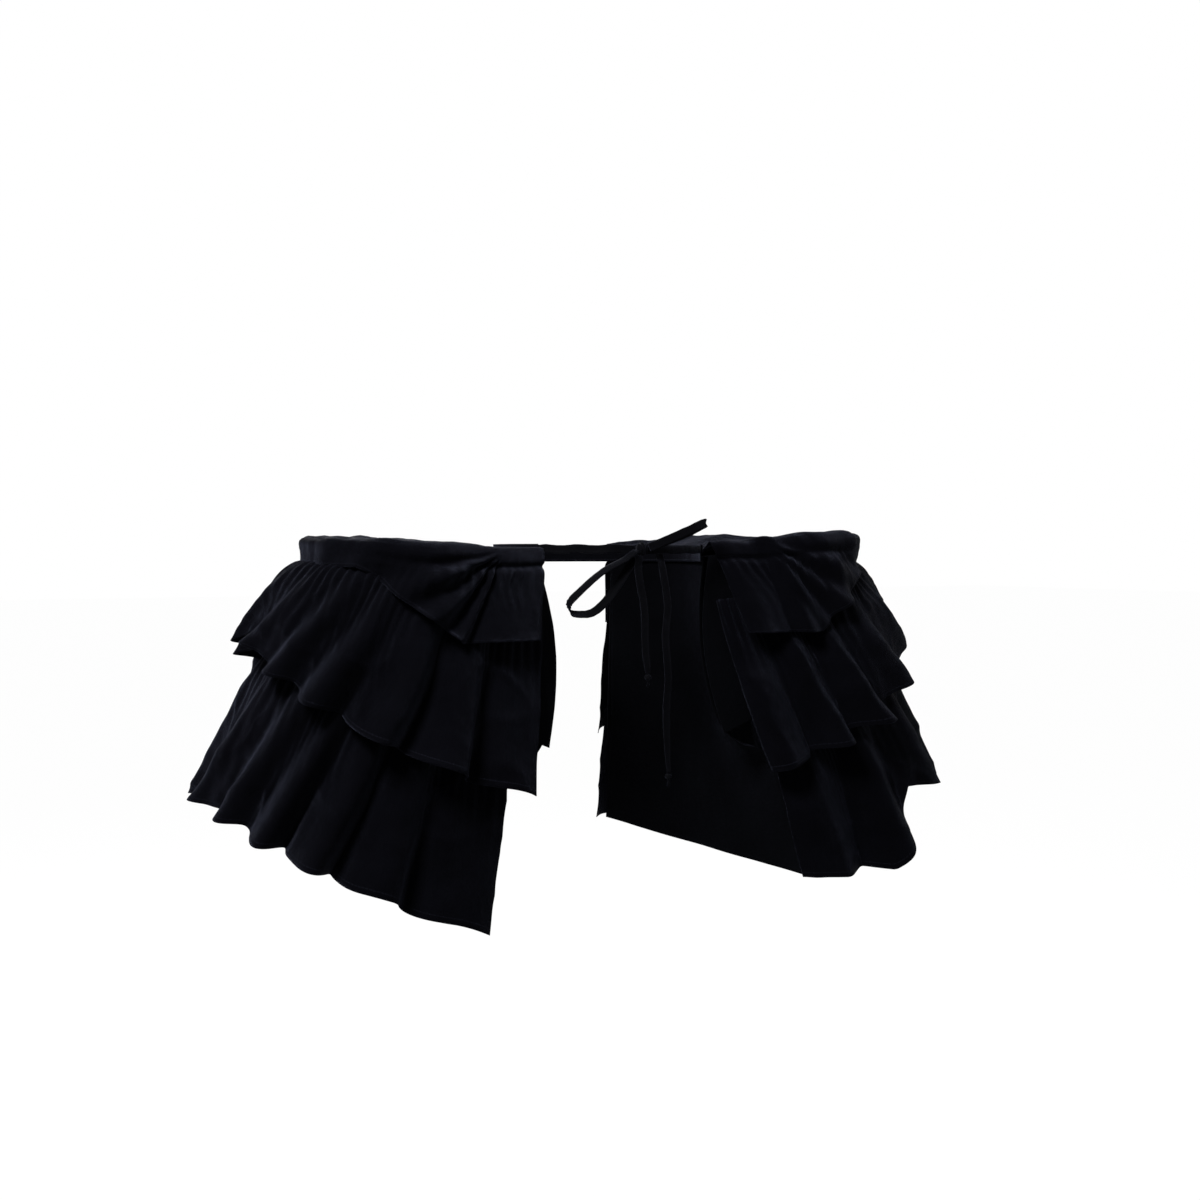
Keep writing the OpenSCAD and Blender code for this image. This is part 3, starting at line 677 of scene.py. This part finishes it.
# %% Bow knot
knot_place = Vector((0, -0.0992, tie_z))
knot_bm = bmesh.new()
bow_knot_radius = 0.0068
bmesh.ops.create_uvsphere(knot_bm, u_segments=72, v_segments=40, radius=bow_knot_radius)
for vert in knot_bm.verts:
    turn = math.atan2(vert.co.y, vert.co.z)
    wraps = math.cos(vert.co.x * 1500 + 0.9 * math.sin(turn + 0.6))
    vert.co *= 1 + 0.07 * wraps + 0.06 * noise.noise(vert.co * 260)
    vert.co.x *= 0.92
    vert.co.z *= 1.04
bmesh.ops.translate(knot_bm, verts=knot_bm.verts, vec=knot_place)
knot_cut = knot_bm.loops.layers.uv.new("cut")
for face in knot_bm.faces:
    for corner in face.loops:
        corner[knot_cut].uv = (corner.vert.co.z, corner.vert.co.x + 0.05)
bow_knot = cloth_object("bow_knot_tape", knot_bm, tape_twill)
stands_for(bow_knot, "bow_knot", "tape")
print("bow knot at", tuple(round(value, 4) for value in knot_place))

# %% [markdown]
# ## Lines round a pocket
# Every cloth of a pocket follows a line that runs from its front corner, round the hip, to its back corner: a
# straight leg, a round end and another leg, which falls towards the corners. A curve object could hold each
# line, but the cloths need its outward direction too, so a small class gives both. Each cloth is then drawn
# between two lines. This is how a pattern cutter thinks of it: waist seam, rim, lower edge and hems are the
# lines, and the cloth is what is gathered between them.

# %% Pocket lines
class PocketLine:
    def __init__(self, front, back, reach, round_end, heights, fall=(0, 1, 1)):
        self.front, self.back, self.reach, self.radius = Vector(front), Vector(back), reach, round_end
        self.heights, self.fall = heights, fall
        self.centre = Vector((reach - round_end, 0))
        span_f, span_b = self.front - self.centre, self.back - self.centre
        self.angle_f = math.atan2(span_f.y, span_f.x) + math.acos(round_end / span_f.length)
        self.angle_b = math.atan2(span_b.y, span_b.x) - math.acos(round_end / span_b.length)
        self.leg_f = math.sqrt(span_f.length_squared - round_end ** 2)
        self.leg_b = math.sqrt(span_b.length_squared - round_end ** 2)
        self.arc = round_end * (self.angle_b - self.angle_f)

    def on_round(self, angle):
        return self.centre + self.radius * Vector((math.cos(angle), math.sin(angle)))

    def plan(self, s):
        d = s * (self.leg_f + self.arc + self.leg_b)
        if d < self.leg_f:
            return mix(self.front, self.on_round(self.angle_f), d / self.leg_f), self.angle_f
        if d < self.leg_f + self.arc:
            angle = self.angle_f + (d - self.leg_f) / self.radius
            return self.on_round(angle), angle
        way = (d - self.leg_f - self.arc) / self.leg_b
        return mix(self.on_round(self.angle_b), self.back, way), self.angle_b

    def out(self, s):
        angle = self.plan(s)[1]
        return Vector((math.cos(angle), math.sin(angle), 0))

    def point(self, s):
        spot, angle = self.plan(s)
        corner, low = (self.front, self.heights[1]) if angle < 0 else (self.back, self.heights[2])
        way = (self.reach - spot.x) / (self.reach - corner.x)
        start, end, power = self.fall
        share = min(max((way - start) / (end - start), 0), 1) ** power
        return Vector((spot.x, spot.y, mix(self.heights[0], low, share)))

    def grown(self, d):
        step_f = d * Vector((math.cos(self.angle_f), math.sin(self.angle_f)))
        step_b = d * Vector((math.cos(self.angle_b), math.sin(self.angle_b)))
        return PocketLine(
            self.front + step_f, self.back + step_b, self.reach + d, self.radius + d, self.heights, self.fall
        )


rim_line = PocketLine((0.108, -0.062), (0.061, 0.089), 0.328, 0.10004, (0, -0.011, -0.011))
lower_line = PocketLine((0.118, -0.096), (0.070, 0.106), 0.388, 0.112, (0, 0, 0))
shelf_room = 0.012
top_rim_line = rim_line.grown(shelf_room)
print("rim is", round(rim_line.leg_f + rim_line.arc + rim_line.leg_b, 3), "m round")


# %% Seams of a pocket
lower_tilt, lower_drop = math.radians(23), 0.258
swell_depth, swell_fade = 0.016, 10
pocket_back_angle = 62


def tilted(spot):
    return Vector((spot.x * math.cos(lower_tilt), spot.y, spot.x * math.sin(lower_tilt) - lower_drop))


def front_swell(s, drop):
    turn = lower_line.angle_f + math.pi / 2
    way = Vector((math.cos(turn), math.sin(turn), 0))
    return way * swell_depth * math.sin(math.pi * drop) * (1 - s) ** swell_fade


def wall_point(s, share):
    return mix(rim_line.point(s), tilted(lower_line.plan(s)[0]), share) - front_swell(s, share)


def waist_seam(s, out, depth):
    return on_waist(mix(-band_front_angle, pocket_back_angle, s), out, -depth)


def sided(side, place):
    return Vector((side * place.x, place.y, place.z))


def through(points, t):
    """A smooth curve through a column of points, at a share of its length."""
    lengths = [0.0]
    for a, b in zip(points, points[1:]):
        lengths.append(lengths[-1] + (b - a).length)
    d = t * lengths[-1]
    k = max(i for i in range(len(points) - 1) if lengths[i] <= d + 1e-12)
    return smooth_step(points, k, (d - lengths[k]) / (lengths[k + 1] - lengths[k]))


def facing_out(bm, side):
    """Turn the faces so that they look away from the middle of the waist."""
    bm.normal_update()
    sample = max(bm.faces, key=lambda face: abs(face.normal.x))
    if sample.normal.x * side < 0:
        bmesh.ops.reverse_faces(bm, faces=bm.faces)
    return bm


print("lower hoop hangs", lower_drop, "m down at the middle")

# %% [markdown]
# ## Base cloth and hip panel
# Under the flounces lies the pocket itself: a shelf from the waistband to the rim hoop and a wall from there to
# the lower hoop, and on its inner side a hip panel that hangs down to the hem. Stretched cloth between two
# hoops needs no simulation. We draw smooth columns through the seams and hoops, and let noise of half a
# millimetre break the evenness.

# %% Base cloth
base_rows = [
    (0, 0), (0.5, 0), (0.92, 0), (1, 0.02), (1, 0.26), (1, 0.5), (1, 0.75), (1, 1),
]
base_seam_out, base_seam_depth, base_slack, shelf_share = 0.0028, 0.012, 0.0006, 0.35


@functools.lru_cache(maxsize=None)
def base_column(s):
    return [
        mix(waist_seam(s, base_seam_out, base_seam_depth), rim_line.point(s), shelf) if shelf < 1
        else wall_point(s, wall)
        for shelf, wall in base_rows
    ]


def base_place(side):
    def place(s, v):
        spot = through(base_column(s), v)
        slack = base_slack * noise.noise(Vector((s * 16, v * 9, side)))
        if v < shelf_share:
            return sided(side, spot - Vector((0, 0, abs(slack))))
        return sided(side, spot + rim_line.out(s) * slack)

    return place


def area_of(bm):
    return sum(face.calc_area() for face in bm.faces)


def long_and_drop(place, columns=120, rows=24, tried=(0, 0.1, 0.25, 0.5, 0.75, 0.9, 1)):
    """Developed length of the last row, and the longest of a few columns, in metres."""
    edge = [place(k / columns, 1) for k in range(columns + 1)]
    drops = [route_length([place(s, k / rows) for k in range(rows + 1)]) for s in tried]
    return route_length(edge), max(drops)


def add_sheet(name, node, slot, place, columns, rows, thickness, finish, held, rests_on, side):
    size = long_and_drop(place)
    bm = facing_out(mapped_grid(columns, rows, place, size), side)
    area = area_of(bm)
    made = sheet_object(name, bm, thickness, finish)
    stands_for(made, node, slot)
    flat = (size[0], max(size[1], area / size[0]))
    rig.sheet(made, flat=flat, held=held, rests_on=rests_on, area=area)
    print(name, "cut", [round(value, 3) for value in flat], "m, area", round(area, 4))
    return made


sides = (("right", -1), ("left", 1))
base_thickness = 0.0012
for word, side in sides:
    add_sheet(
        f"{word}_base_cloth", f"{word}_base", "base_cloth", base_place(side), 150, 60, base_thickness,
        base_cotton, "stretched", [f"{word}_rim_hoop", f"{word}_lower_hoop"], side,
    )

# %% Hip panel
panel_rows = [
    (0, 0, 0), (0.25, 0, 0), (0.5, 0, 0), (0.72, 0, 0), (0.9, 0.03, 0), (1, 0.2, 0.015), (1, 0.45, 0.06),
    (1, 0.72, 0.18), (1, 0.9, 0.52), (1, 1, 1),
]
panel_hem_front, panel_hem_back = Vector((0.205, -0.116, -0.379)), Vector((0.085, 0.153, -0.352))
panel_seam_out, panel_seam_depth, panel_thickness = 0.0042, 0.0134, 0.001
panel_inset, hip_bend, hip_z, panel_hang = Vector((0.003, 0.005, 0)), Vector((0.216, 0, 0)), -0.222, 0.0035


@functools.lru_cache(maxsize=None)
def panel_column(s):
    top = waist_seam(s, panel_seam_out, panel_seam_depth)
    front = tilted(lower_line.plan(0)[0]) + panel_inset
    back = tilted(lower_line.plan(1)[0]) + panel_inset * Vector((1, -1, 1))
    hip = front * (1 - s) ** 2 + hip_bend * 2 * s * (1 - s) + back * s * s
    hip.z = hip_z
    down = mix(panel_hem_front, panel_hem_back, s) - hip
    spots = []
    for to_hip, front_out, down_share in panel_rows:
        out_share = mix(front_out, down_share, s)
        spots.append(
            mix(top, hip, to_hip) - front_swell(s, to_hip)
            + Vector((down.x * out_share, down.y * out_share, down.z * down_share))
        )
    return spots


def panel_place(side):
    def place(s, v):
        spot = through(panel_column(s), v)
        hang = panel_hang * v * v * noise.noise(Vector((s * 5, v * 1.5, side + 9)))
        return sided(side, spot + Vector((hang, 0, 0)))

    return place


for word, side in sides:
    add_sheet(
        f"{word}_hip_cloth", f"{word}_hip_panel", "base_cloth", panel_place(side), 90, 90, panel_thickness,
        panel_cotton, "hung", ["waistband_cloth"], side,
    )

# %% [markdown]
# ## Flounces
# A flounce is a strip of cotton, longer than the edge it is sewn to, so it is drawn up on a thread into small
# gathers that open into folds towards the hem. Cloth simulation could drape it, but the folds would land
# where they like. Here each fold has its place: a table of ridges along the hem gives the phase of a wave, fine
# gathers fade out below the seam, and a little noise bends each fold on its way down. The folds of the right
# flounces lean towards the front and those of the left ones towards the hip, as cloth that hangs askew does.

# %% Folds
fold_swell, first_fold, second_fold = 0.2, 0.9, 0.24
fullness, lean = 0.25, 0.25
edge_turn = 0.2


def fold_wave(s, ridges, seed):
    """Rise of a fold, 1 on a ridge and -1 in a crease, and how full it is along the hem."""
    if s <= ridges[0]:
        turns = -edge_turn * (1 - s / ridges[0])
    elif s >= ridges[-1]:
        turns = len(ridges) - 1 + edge_turn * (s - ridges[-1]) / (1 - ridges[-1])
    else:
        k = max(i for i in range(len(ridges) - 1) if ridges[i] <= s)
        turns = k + (s - ridges[k]) / (ridges[k + 1] - ridges[k])
    swell = 1 - fold_swell * (1 + math.sin(2 * math.pi * 2.3 * s + math.radians(61 * seed)))
    phase = 2 * math.pi * turns
    uneven = 0.9 + 1.7 * math.sin(9 * s + seed)
    rise = first_fold * math.cos(phase) + second_fold * math.cos(2 * phase + uneven)
    return swell * rise, swell * fullness * math.sin(phase)


print("a fold leans", lean, "of its depth")

# %% Small unevenness of gathered cloth
gather_count, gather_depth, gather_fade = 74, 0.0019, 3.6
wander_reach, fan_shift = 0.011, 0.055
broad_crinkle, small_crinkle, crease_height = 0.0042, 0.0009, 0.0026


def fine_gathers(s, v, seed):
    drift = 4 * noise.noise(Vector((s * 11, v * 2.0, seed)))
    fade = math.exp(-v * gather_fade)
    return gather_depth * fade * math.sin(2 * math.pi * gather_count * s + 3 * drift)


def wander(s, v, seed):
    return wander_reach * v * noise.noise(Vector((s * 7, v * 1.8, seed * 3.1)))


def fade_in(value, start, length):
    return min(max((value - start) / length, 0), 1)


def fan(s):
    """Folds over the hip start nearer the front than they end, so they spread like a fan."""
    return fan_shift * fade_in(s, 0.13, 0.17) * fade_in(-s, -0.8, 0.25)


def crinkle(s, v, seed):
    broad = broad_crinkle * v * noise.noise(Vector((s * 24, v * 2.6, seed * 5.3)))
    return broad + small_crinkle * noise.noise(Vector((s * 64, v * 9, seed)))


def creases(spot, v, seed):
    """Soft creases with sharp tops, where the cloth was folded away."""
    line = 1 - 2.4 * abs(noise.noise(spot * 17 + Vector((seed * 9, 0, 0))))
    return crease_height * min(3 * v, 1) * max(line, 0) ** 2


print(gather_count, "gathers in a seam")

# %% A flounce on the wall
seam_room, seam_fold, fold_depth = 0.0041, 0.0015, 0.016
front_depth, fold_power, hem_wave = 1.3, 1.15, 0.003




class WallFlounce:
    """A flounce gathered on to the base wall at a seam, which flares in folds down to its hem."""

    def __init__(self, side, seam_shares, start_share, hem, flares, ridges, seed):
        self.side, self.seam_shares, self.start, self.hem = side, seam_shares, start_share, hem
        self.flares, self.ridges, self.seed = flares, ridges, seed
        self.columns = {}

    def column(self, s):
        if s not in self.columns:
            wall_s = mix(self.start, 1, s)
            out = self.hem.out(s)
            hip = max(out.x, 0) ** 2
            seam = wall_point(wall_s, mix(*self.seam_shares, hip)) + rim_line.out(wall_s) * seam_room
            self.columns[s] = (seam, self.hem.point(s), out, mix(*self.flares, hip))
        return self.columns[s]

    def place(self, s, v):
        seam, low, out, flare = self.column(s)
        share = v ** flare
        spot = Vector((mix(seam.x, low.x, share), mix(seam.y, low.y, share), mix(seam.z, low.z, v)))
        depth = mix(seam_fold, fold_depth * mix(front_depth, 1, max(out.x, 0)), v ** fold_power)
        rise, push = fold_wave(s + fan(s) * (1 - v) + wander(s, v, self.seed), self.ridges, self.seed)
        along = Vector((-out.y, out.x, 0)) * depth * (push + self.side * lean * rise)
        small = fine_gathers(s, v, self.seed) + crinkle(s, v, self.seed) + creases(spot, v, self.seed)
        hem_dip = -hem_wave * v * v * noise.noise(Vector((s * 17, 4, self.seed)))
        return sided(self.side, spot + out * (depth * rise + small) + along + Vector((0, 0, hem_dip)))


print("a flounce is sewn on", seam_room, "m off the wall's middle")

# %% Bottom flounces
right_bottom_line = PocketLine(
    (0.200, -0.134), (0.080, 0.158), 0.446, 0.150, (-0.250, -0.386, -0.352), (0, 1, 0.85)
)
left_bottom_line = PocketLine(
    (0.190, -0.134), (0.080, 0.158), 0.446, 0.150, (-0.286, -0.374, -0.352), (0.36, 0.56, 0.8)
)
right_seed, left_seed = 1, 2.4
bottom_seams, bottom_start, bottom_flares = (0.88, 0.88), 0.07, (1, 0.7)
right_bottom = WallFlounce(-1, bottom_seams, bottom_start, right_bottom_line, bottom_flares, [
    0.05, 0.148, 0.222, 0.282, 0.342, 0.41, 0.48, 0.56, 0.63, 0.7, 0.77, 0.84, 0.9, 0.97,
], right_seed)
left_bottom = WallFlounce(1, bottom_seams, bottom_start, left_bottom_line, bottom_flares, [
    0.05, 0.155, 0.26, 0.335, 0.4, 0.46, 0.52, 0.59, 0.67, 0.75, 0.82, 0.89, 0.96,
], left_seed)


flounce_thickness = 0.0008


def add_flounces(tier, right_place, left_place, columns, rows, sewn_to):
    for (word, side), place in zip(sides, (right_place, left_place)):
        add_sheet(
            f"{word}_{tier}_flounce_cloth", f"{word}_{tier}_flounce", "flounce_cloth", place, columns, rows,
            flounce_thickness, flounce_cotton, "gathered", [sewn_to.format(word)], side,
        )


add_flounces("bottom", right_bottom.place, left_bottom.place, 520, 64, "{}_base_cloth")

# %% Middle flounces
middle_line = PocketLine(
    (0.150, -0.134), (0.076, 0.146), 0.401, 0.156, (-0.088, -0.252, -0.240), (0, 1, 0.55)
)
middle_seams, middle_start, middle_flares = (0.26, 0.14), 0.02, (1.2, 0.55)
right_middle = WallFlounce(-1, middle_seams, middle_start, middle_line, middle_flares, [
    0.04, 0.13, 0.215, 0.3, 0.36, 0.42, 0.48, 0.54, 0.61, 0.68, 0.76, 0.83, 0.9, 0.97,
], right_seed)
left_middle = WallFlounce(1, middle_seams, middle_start, middle_line, middle_flares, [
    0.02, 0.1, 0.17, 0.265, 0.365, 0.44, 0.51, 0.58, 0.66, 0.74, 0.81, 0.89, 0.96,
], left_seed)
add_flounces("middle", right_middle.place, left_middle.place, 520, 60, "{}_base_cloth")

# %% [markdown]
# ## Top flounces
# The top flounce is sewn in with the waistband. It lies over the shelf, rolls over the rim and drops a hand's
# width, with a row of gathers two centimetres below the rim. A Bevel could round a folded sheet, but the roll
# changes along the rim. So its columns are smooth curves through the shelf, the turn and the drop, and a groove
# with puckers under it draws the row of gathers. Towards the front it is caught up in a small swag, with folds
# that spread like rays from one point.

# %% Swag of the top flounce
swag_start, swag_middle, swag_width, swag_step = 0.085, 0.2, 0.07, 21
swag_first_angle, swag_last_angle, swag_soft_angle, swag_reach = 4, 80, 12, 0.07
rim_length = 0.82


def swag_window(s):
    return math.exp(-((s - swag_middle) / swag_width) ** 2)


def swag_fold(s, fallen):
    """Folds that spread like rays from the point where the swag is caught up."""
    over, down = (s - swag_start) * rim_length, max(fallen, 0)
    if over <= 0:
        return 0
    angle = math.degrees(math.atan2(down, over))
    edge = fade_in(angle, swag_first_angle, swag_soft_angle)
    edge *= fade_in(-angle, -swag_last_angle, swag_soft_angle)
    return edge * min(math.hypot(over, down) / swag_reach, 1) * math.cos(2 * math.pi * angle / swag_step)


print("swag is caught up at", swag_start, "of the rim")

# %% Columns of the top flounce
top_rows = [
    (0, 0, 0, 0.15), (0.5, 0, 0, 0.2), (0.88, 0, 0.25, 0.25), (1, 0.14, 0.8, 0.35), (1, 0.55, 1, 0.7),
    (1, 1, 1, 1),
]
top_line = PocketLine(
    (0.131, -0.112), (0.070, 0.118), 0.348, 0.13224, (-0.022, -0.097, -0.095), (0.15, 0.6, 1)
)
top_seam_out, top_seam_depth, top_fold, roll_fold = 0.0028, 0.006, 0.009, 0.2
roll_drop, flounce_start = 0.04, 0.03
swag_flatness, front_lift, front_reach = 0.4, 0.4, 0.16
seam_fall, groove_depth, groove_width = 0.021, 0.004, 0.0045
pucker_count, pucker_depth, pucker_fall = 52, 0.0016, 0.022
tuck_depth, tuck_fall, roll_noise, top_crinkle = 0.009, 0.033, 0.0018, 0.6


def top_flounce_place(side, lift, puff, ridges, swag, seed):
    @functools.lru_cache(maxsize=None)
    def column(s):
        rise = mix(lift[0], lift[1], math.sin(math.pi * s) ** 2) + puff * math.sin(2 * math.pi * s) ** 2
        rim = top_rim_line.point(s) + Vector((0, 0, rise))
        seam = waist_seam(s, top_seam_out, top_seam_depth)
        hem, out = top_line.point(s), top_line.out(s)
        spots, ways = [], []
        for shelf, drop, turn, share in top_rows:
            way = mix(Vector((0, 0, 1)), out, turn).normalized()
            spots.append(mix(seam, rim, shelf) + (hem - rim) * drop)
            ways.append(way * top_fold * share)
        lengths = [(b - a).length for a, b in zip(spots, spots[1:])]
        whole, shelf_long = sum(lengths), (seam - rim).length
        flounce = fade_in(whole - shelf_long, roll_drop, flounce_start)
        return spots, [way * mix(roll_fold, 1, flounce) for way in ways], whole, shelf_long, flounce

    def place(s, v):
        spots, ways, whole, shelf_long, flounce = column(s)
        rise, push = fold_wave(s + wander(s, v, seed), ridges, seed)
        fold = mix(1, swag_flatness, swag_window(s)) * rise
        fold += front_lift * max(1 - s / front_reach, 0) * (rise + 0.5)
        spot = through([a + b * fold for a, b in zip(spots, ways)], v)
        level, fallen = top_line.out(s), v * whole - shelf_long
        drape = swag * swag_fold(s, fallen) * flounce
        out = mix(Vector((0, 0, 1)), level, fade_in(fallen, -0.01, 0.02)).normalized()
        below = max(fallen - seam_fall, 0)
        groove = -groove_depth * flounce * math.exp(-((fallen - seam_fall) / groove_width) ** 2)
        drift = 4 * noise.noise(Vector((s * 13, below * 30, seed)))
        puckers = pucker_depth * math.sin(2 * math.pi * pucker_count * s + 2 * drift)
        puckers *= math.exp(-below / pucker_fall) * flounce * min(below / 0.006, 1)
        tuck = -tuck_depth * (1 - flounce) * min(max(fallen / tuck_fall, 0), 1.2) ** 2
        rolled = roll_noise * (1 - flounce) * noise.noise(Vector((s * 9, fallen * 130, seed)))
        small = groove + puckers + tuck + rolled + drape + top_crinkle * crinkle(s, v, seed)
        along = Vector((-level.y, level.x, 0)) * top_fold * push * fade_in(fallen, 0, 0.08)
        return sided(side, spot + out * small + along)

    return place


print("row of gathers", seam_fall, "m below the rim")

# %% Top flounces
right_top_lift, left_top_lift, left_top_puff = (0.006, 0.011), (0.015, 0.011), 0.011
right_swag, left_swag = 0.006, 0.003
right_top = top_flounce_place(-1, right_top_lift, 0, (
    0.02, 0.21, 0.3, 0.38, 0.46, 0.54, 0.63, 0.73, 0.84, 0.94,
), right_swag, right_seed)
left_top = top_flounce_place(1, left_top_lift, left_top_puff, (
    0.03, 0.11, 0.2, 0.28, 0.37, 0.45, 0.53, 0.62, 0.71, 0.81, 0.92,
), left_swag, left_seed)
add_flounces("top", right_top, left_top, 420, 72, "waistband_cloth")

# %% [markdown]
# ## Hoops and casings
# Inside each pocket two flat hoops run in sewn casings. They could be swept along their lines again, but they
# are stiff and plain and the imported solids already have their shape. So the solids stay and only get a finish:
# cotton for the casings, and for the hoops a pale flat bone with fine scratches.

# %% Hoop finishes
def bone_finish():
    made = bpy.data.materials.new("hoop_bone")
    made.use_nodes = True
    tree = made.node_tree
    shader = tree.nodes["Principled BSDF"]
    place = add_node(tree, "ShaderNodeTexCoord")
    grain = add_node(tree, "ShaderNodeTexNoise")
    grain.inputs["Scale"].default_value = 45
    grain.inputs["Detail"].default_value = 6
    stretch = add_node(tree, "ShaderNodeMapping")
    stretch.inputs["Scale"].default_value = (1, 1, 30)
    tree.links.new(place.outputs["Object"], stretch.inputs["Vector"])
    tree.links.new(stretch.outputs["Vector"], grain.inputs["Vector"])
    colour = mix_colour(tree, grain.outputs["Fac"], (0.42, 0.41, 0.38), (0.6, 0.59, 0.55))
    uneven = math_node(tree, "MULTIPLY", grain.outputs["Fac"], 0.25)
    tree.links.new(colour, shader.inputs["Base Color"])
    tree.links.new(math_node(tree, "ADD", uneven, 0.3), shader.inputs["Roughness"])
    tree.links.new(bump_node(tree, grain.outputs["Fac"], 0.0003), shader.inputs["Normal"])
    return made


hoop_bone = bone_finish()
for name, node in frame["nodes"].items():
    if name.endswith(("_casing", "_hoop")):
        node.data.materials.clear()
        node.data.materials.append(hoop_bone if name.endswith("_hoop") else casing_cotton)
print("hoops", [name for name in frame["nodes"] if name.endswith("_hoop")])

# %% [markdown]
# ## Sizes
# The cloth may stand a little proud of the solids and no more, so both boxes are written down for comparison.

# %% Sizes and finish
visual_box = [[float(value) for value in corner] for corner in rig.bounds()]
with open("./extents.json", "w") as sizes:
    json.dump({"cad": cad_box, "visual": visual_box}, sizes)
print("visual box", visual_box)
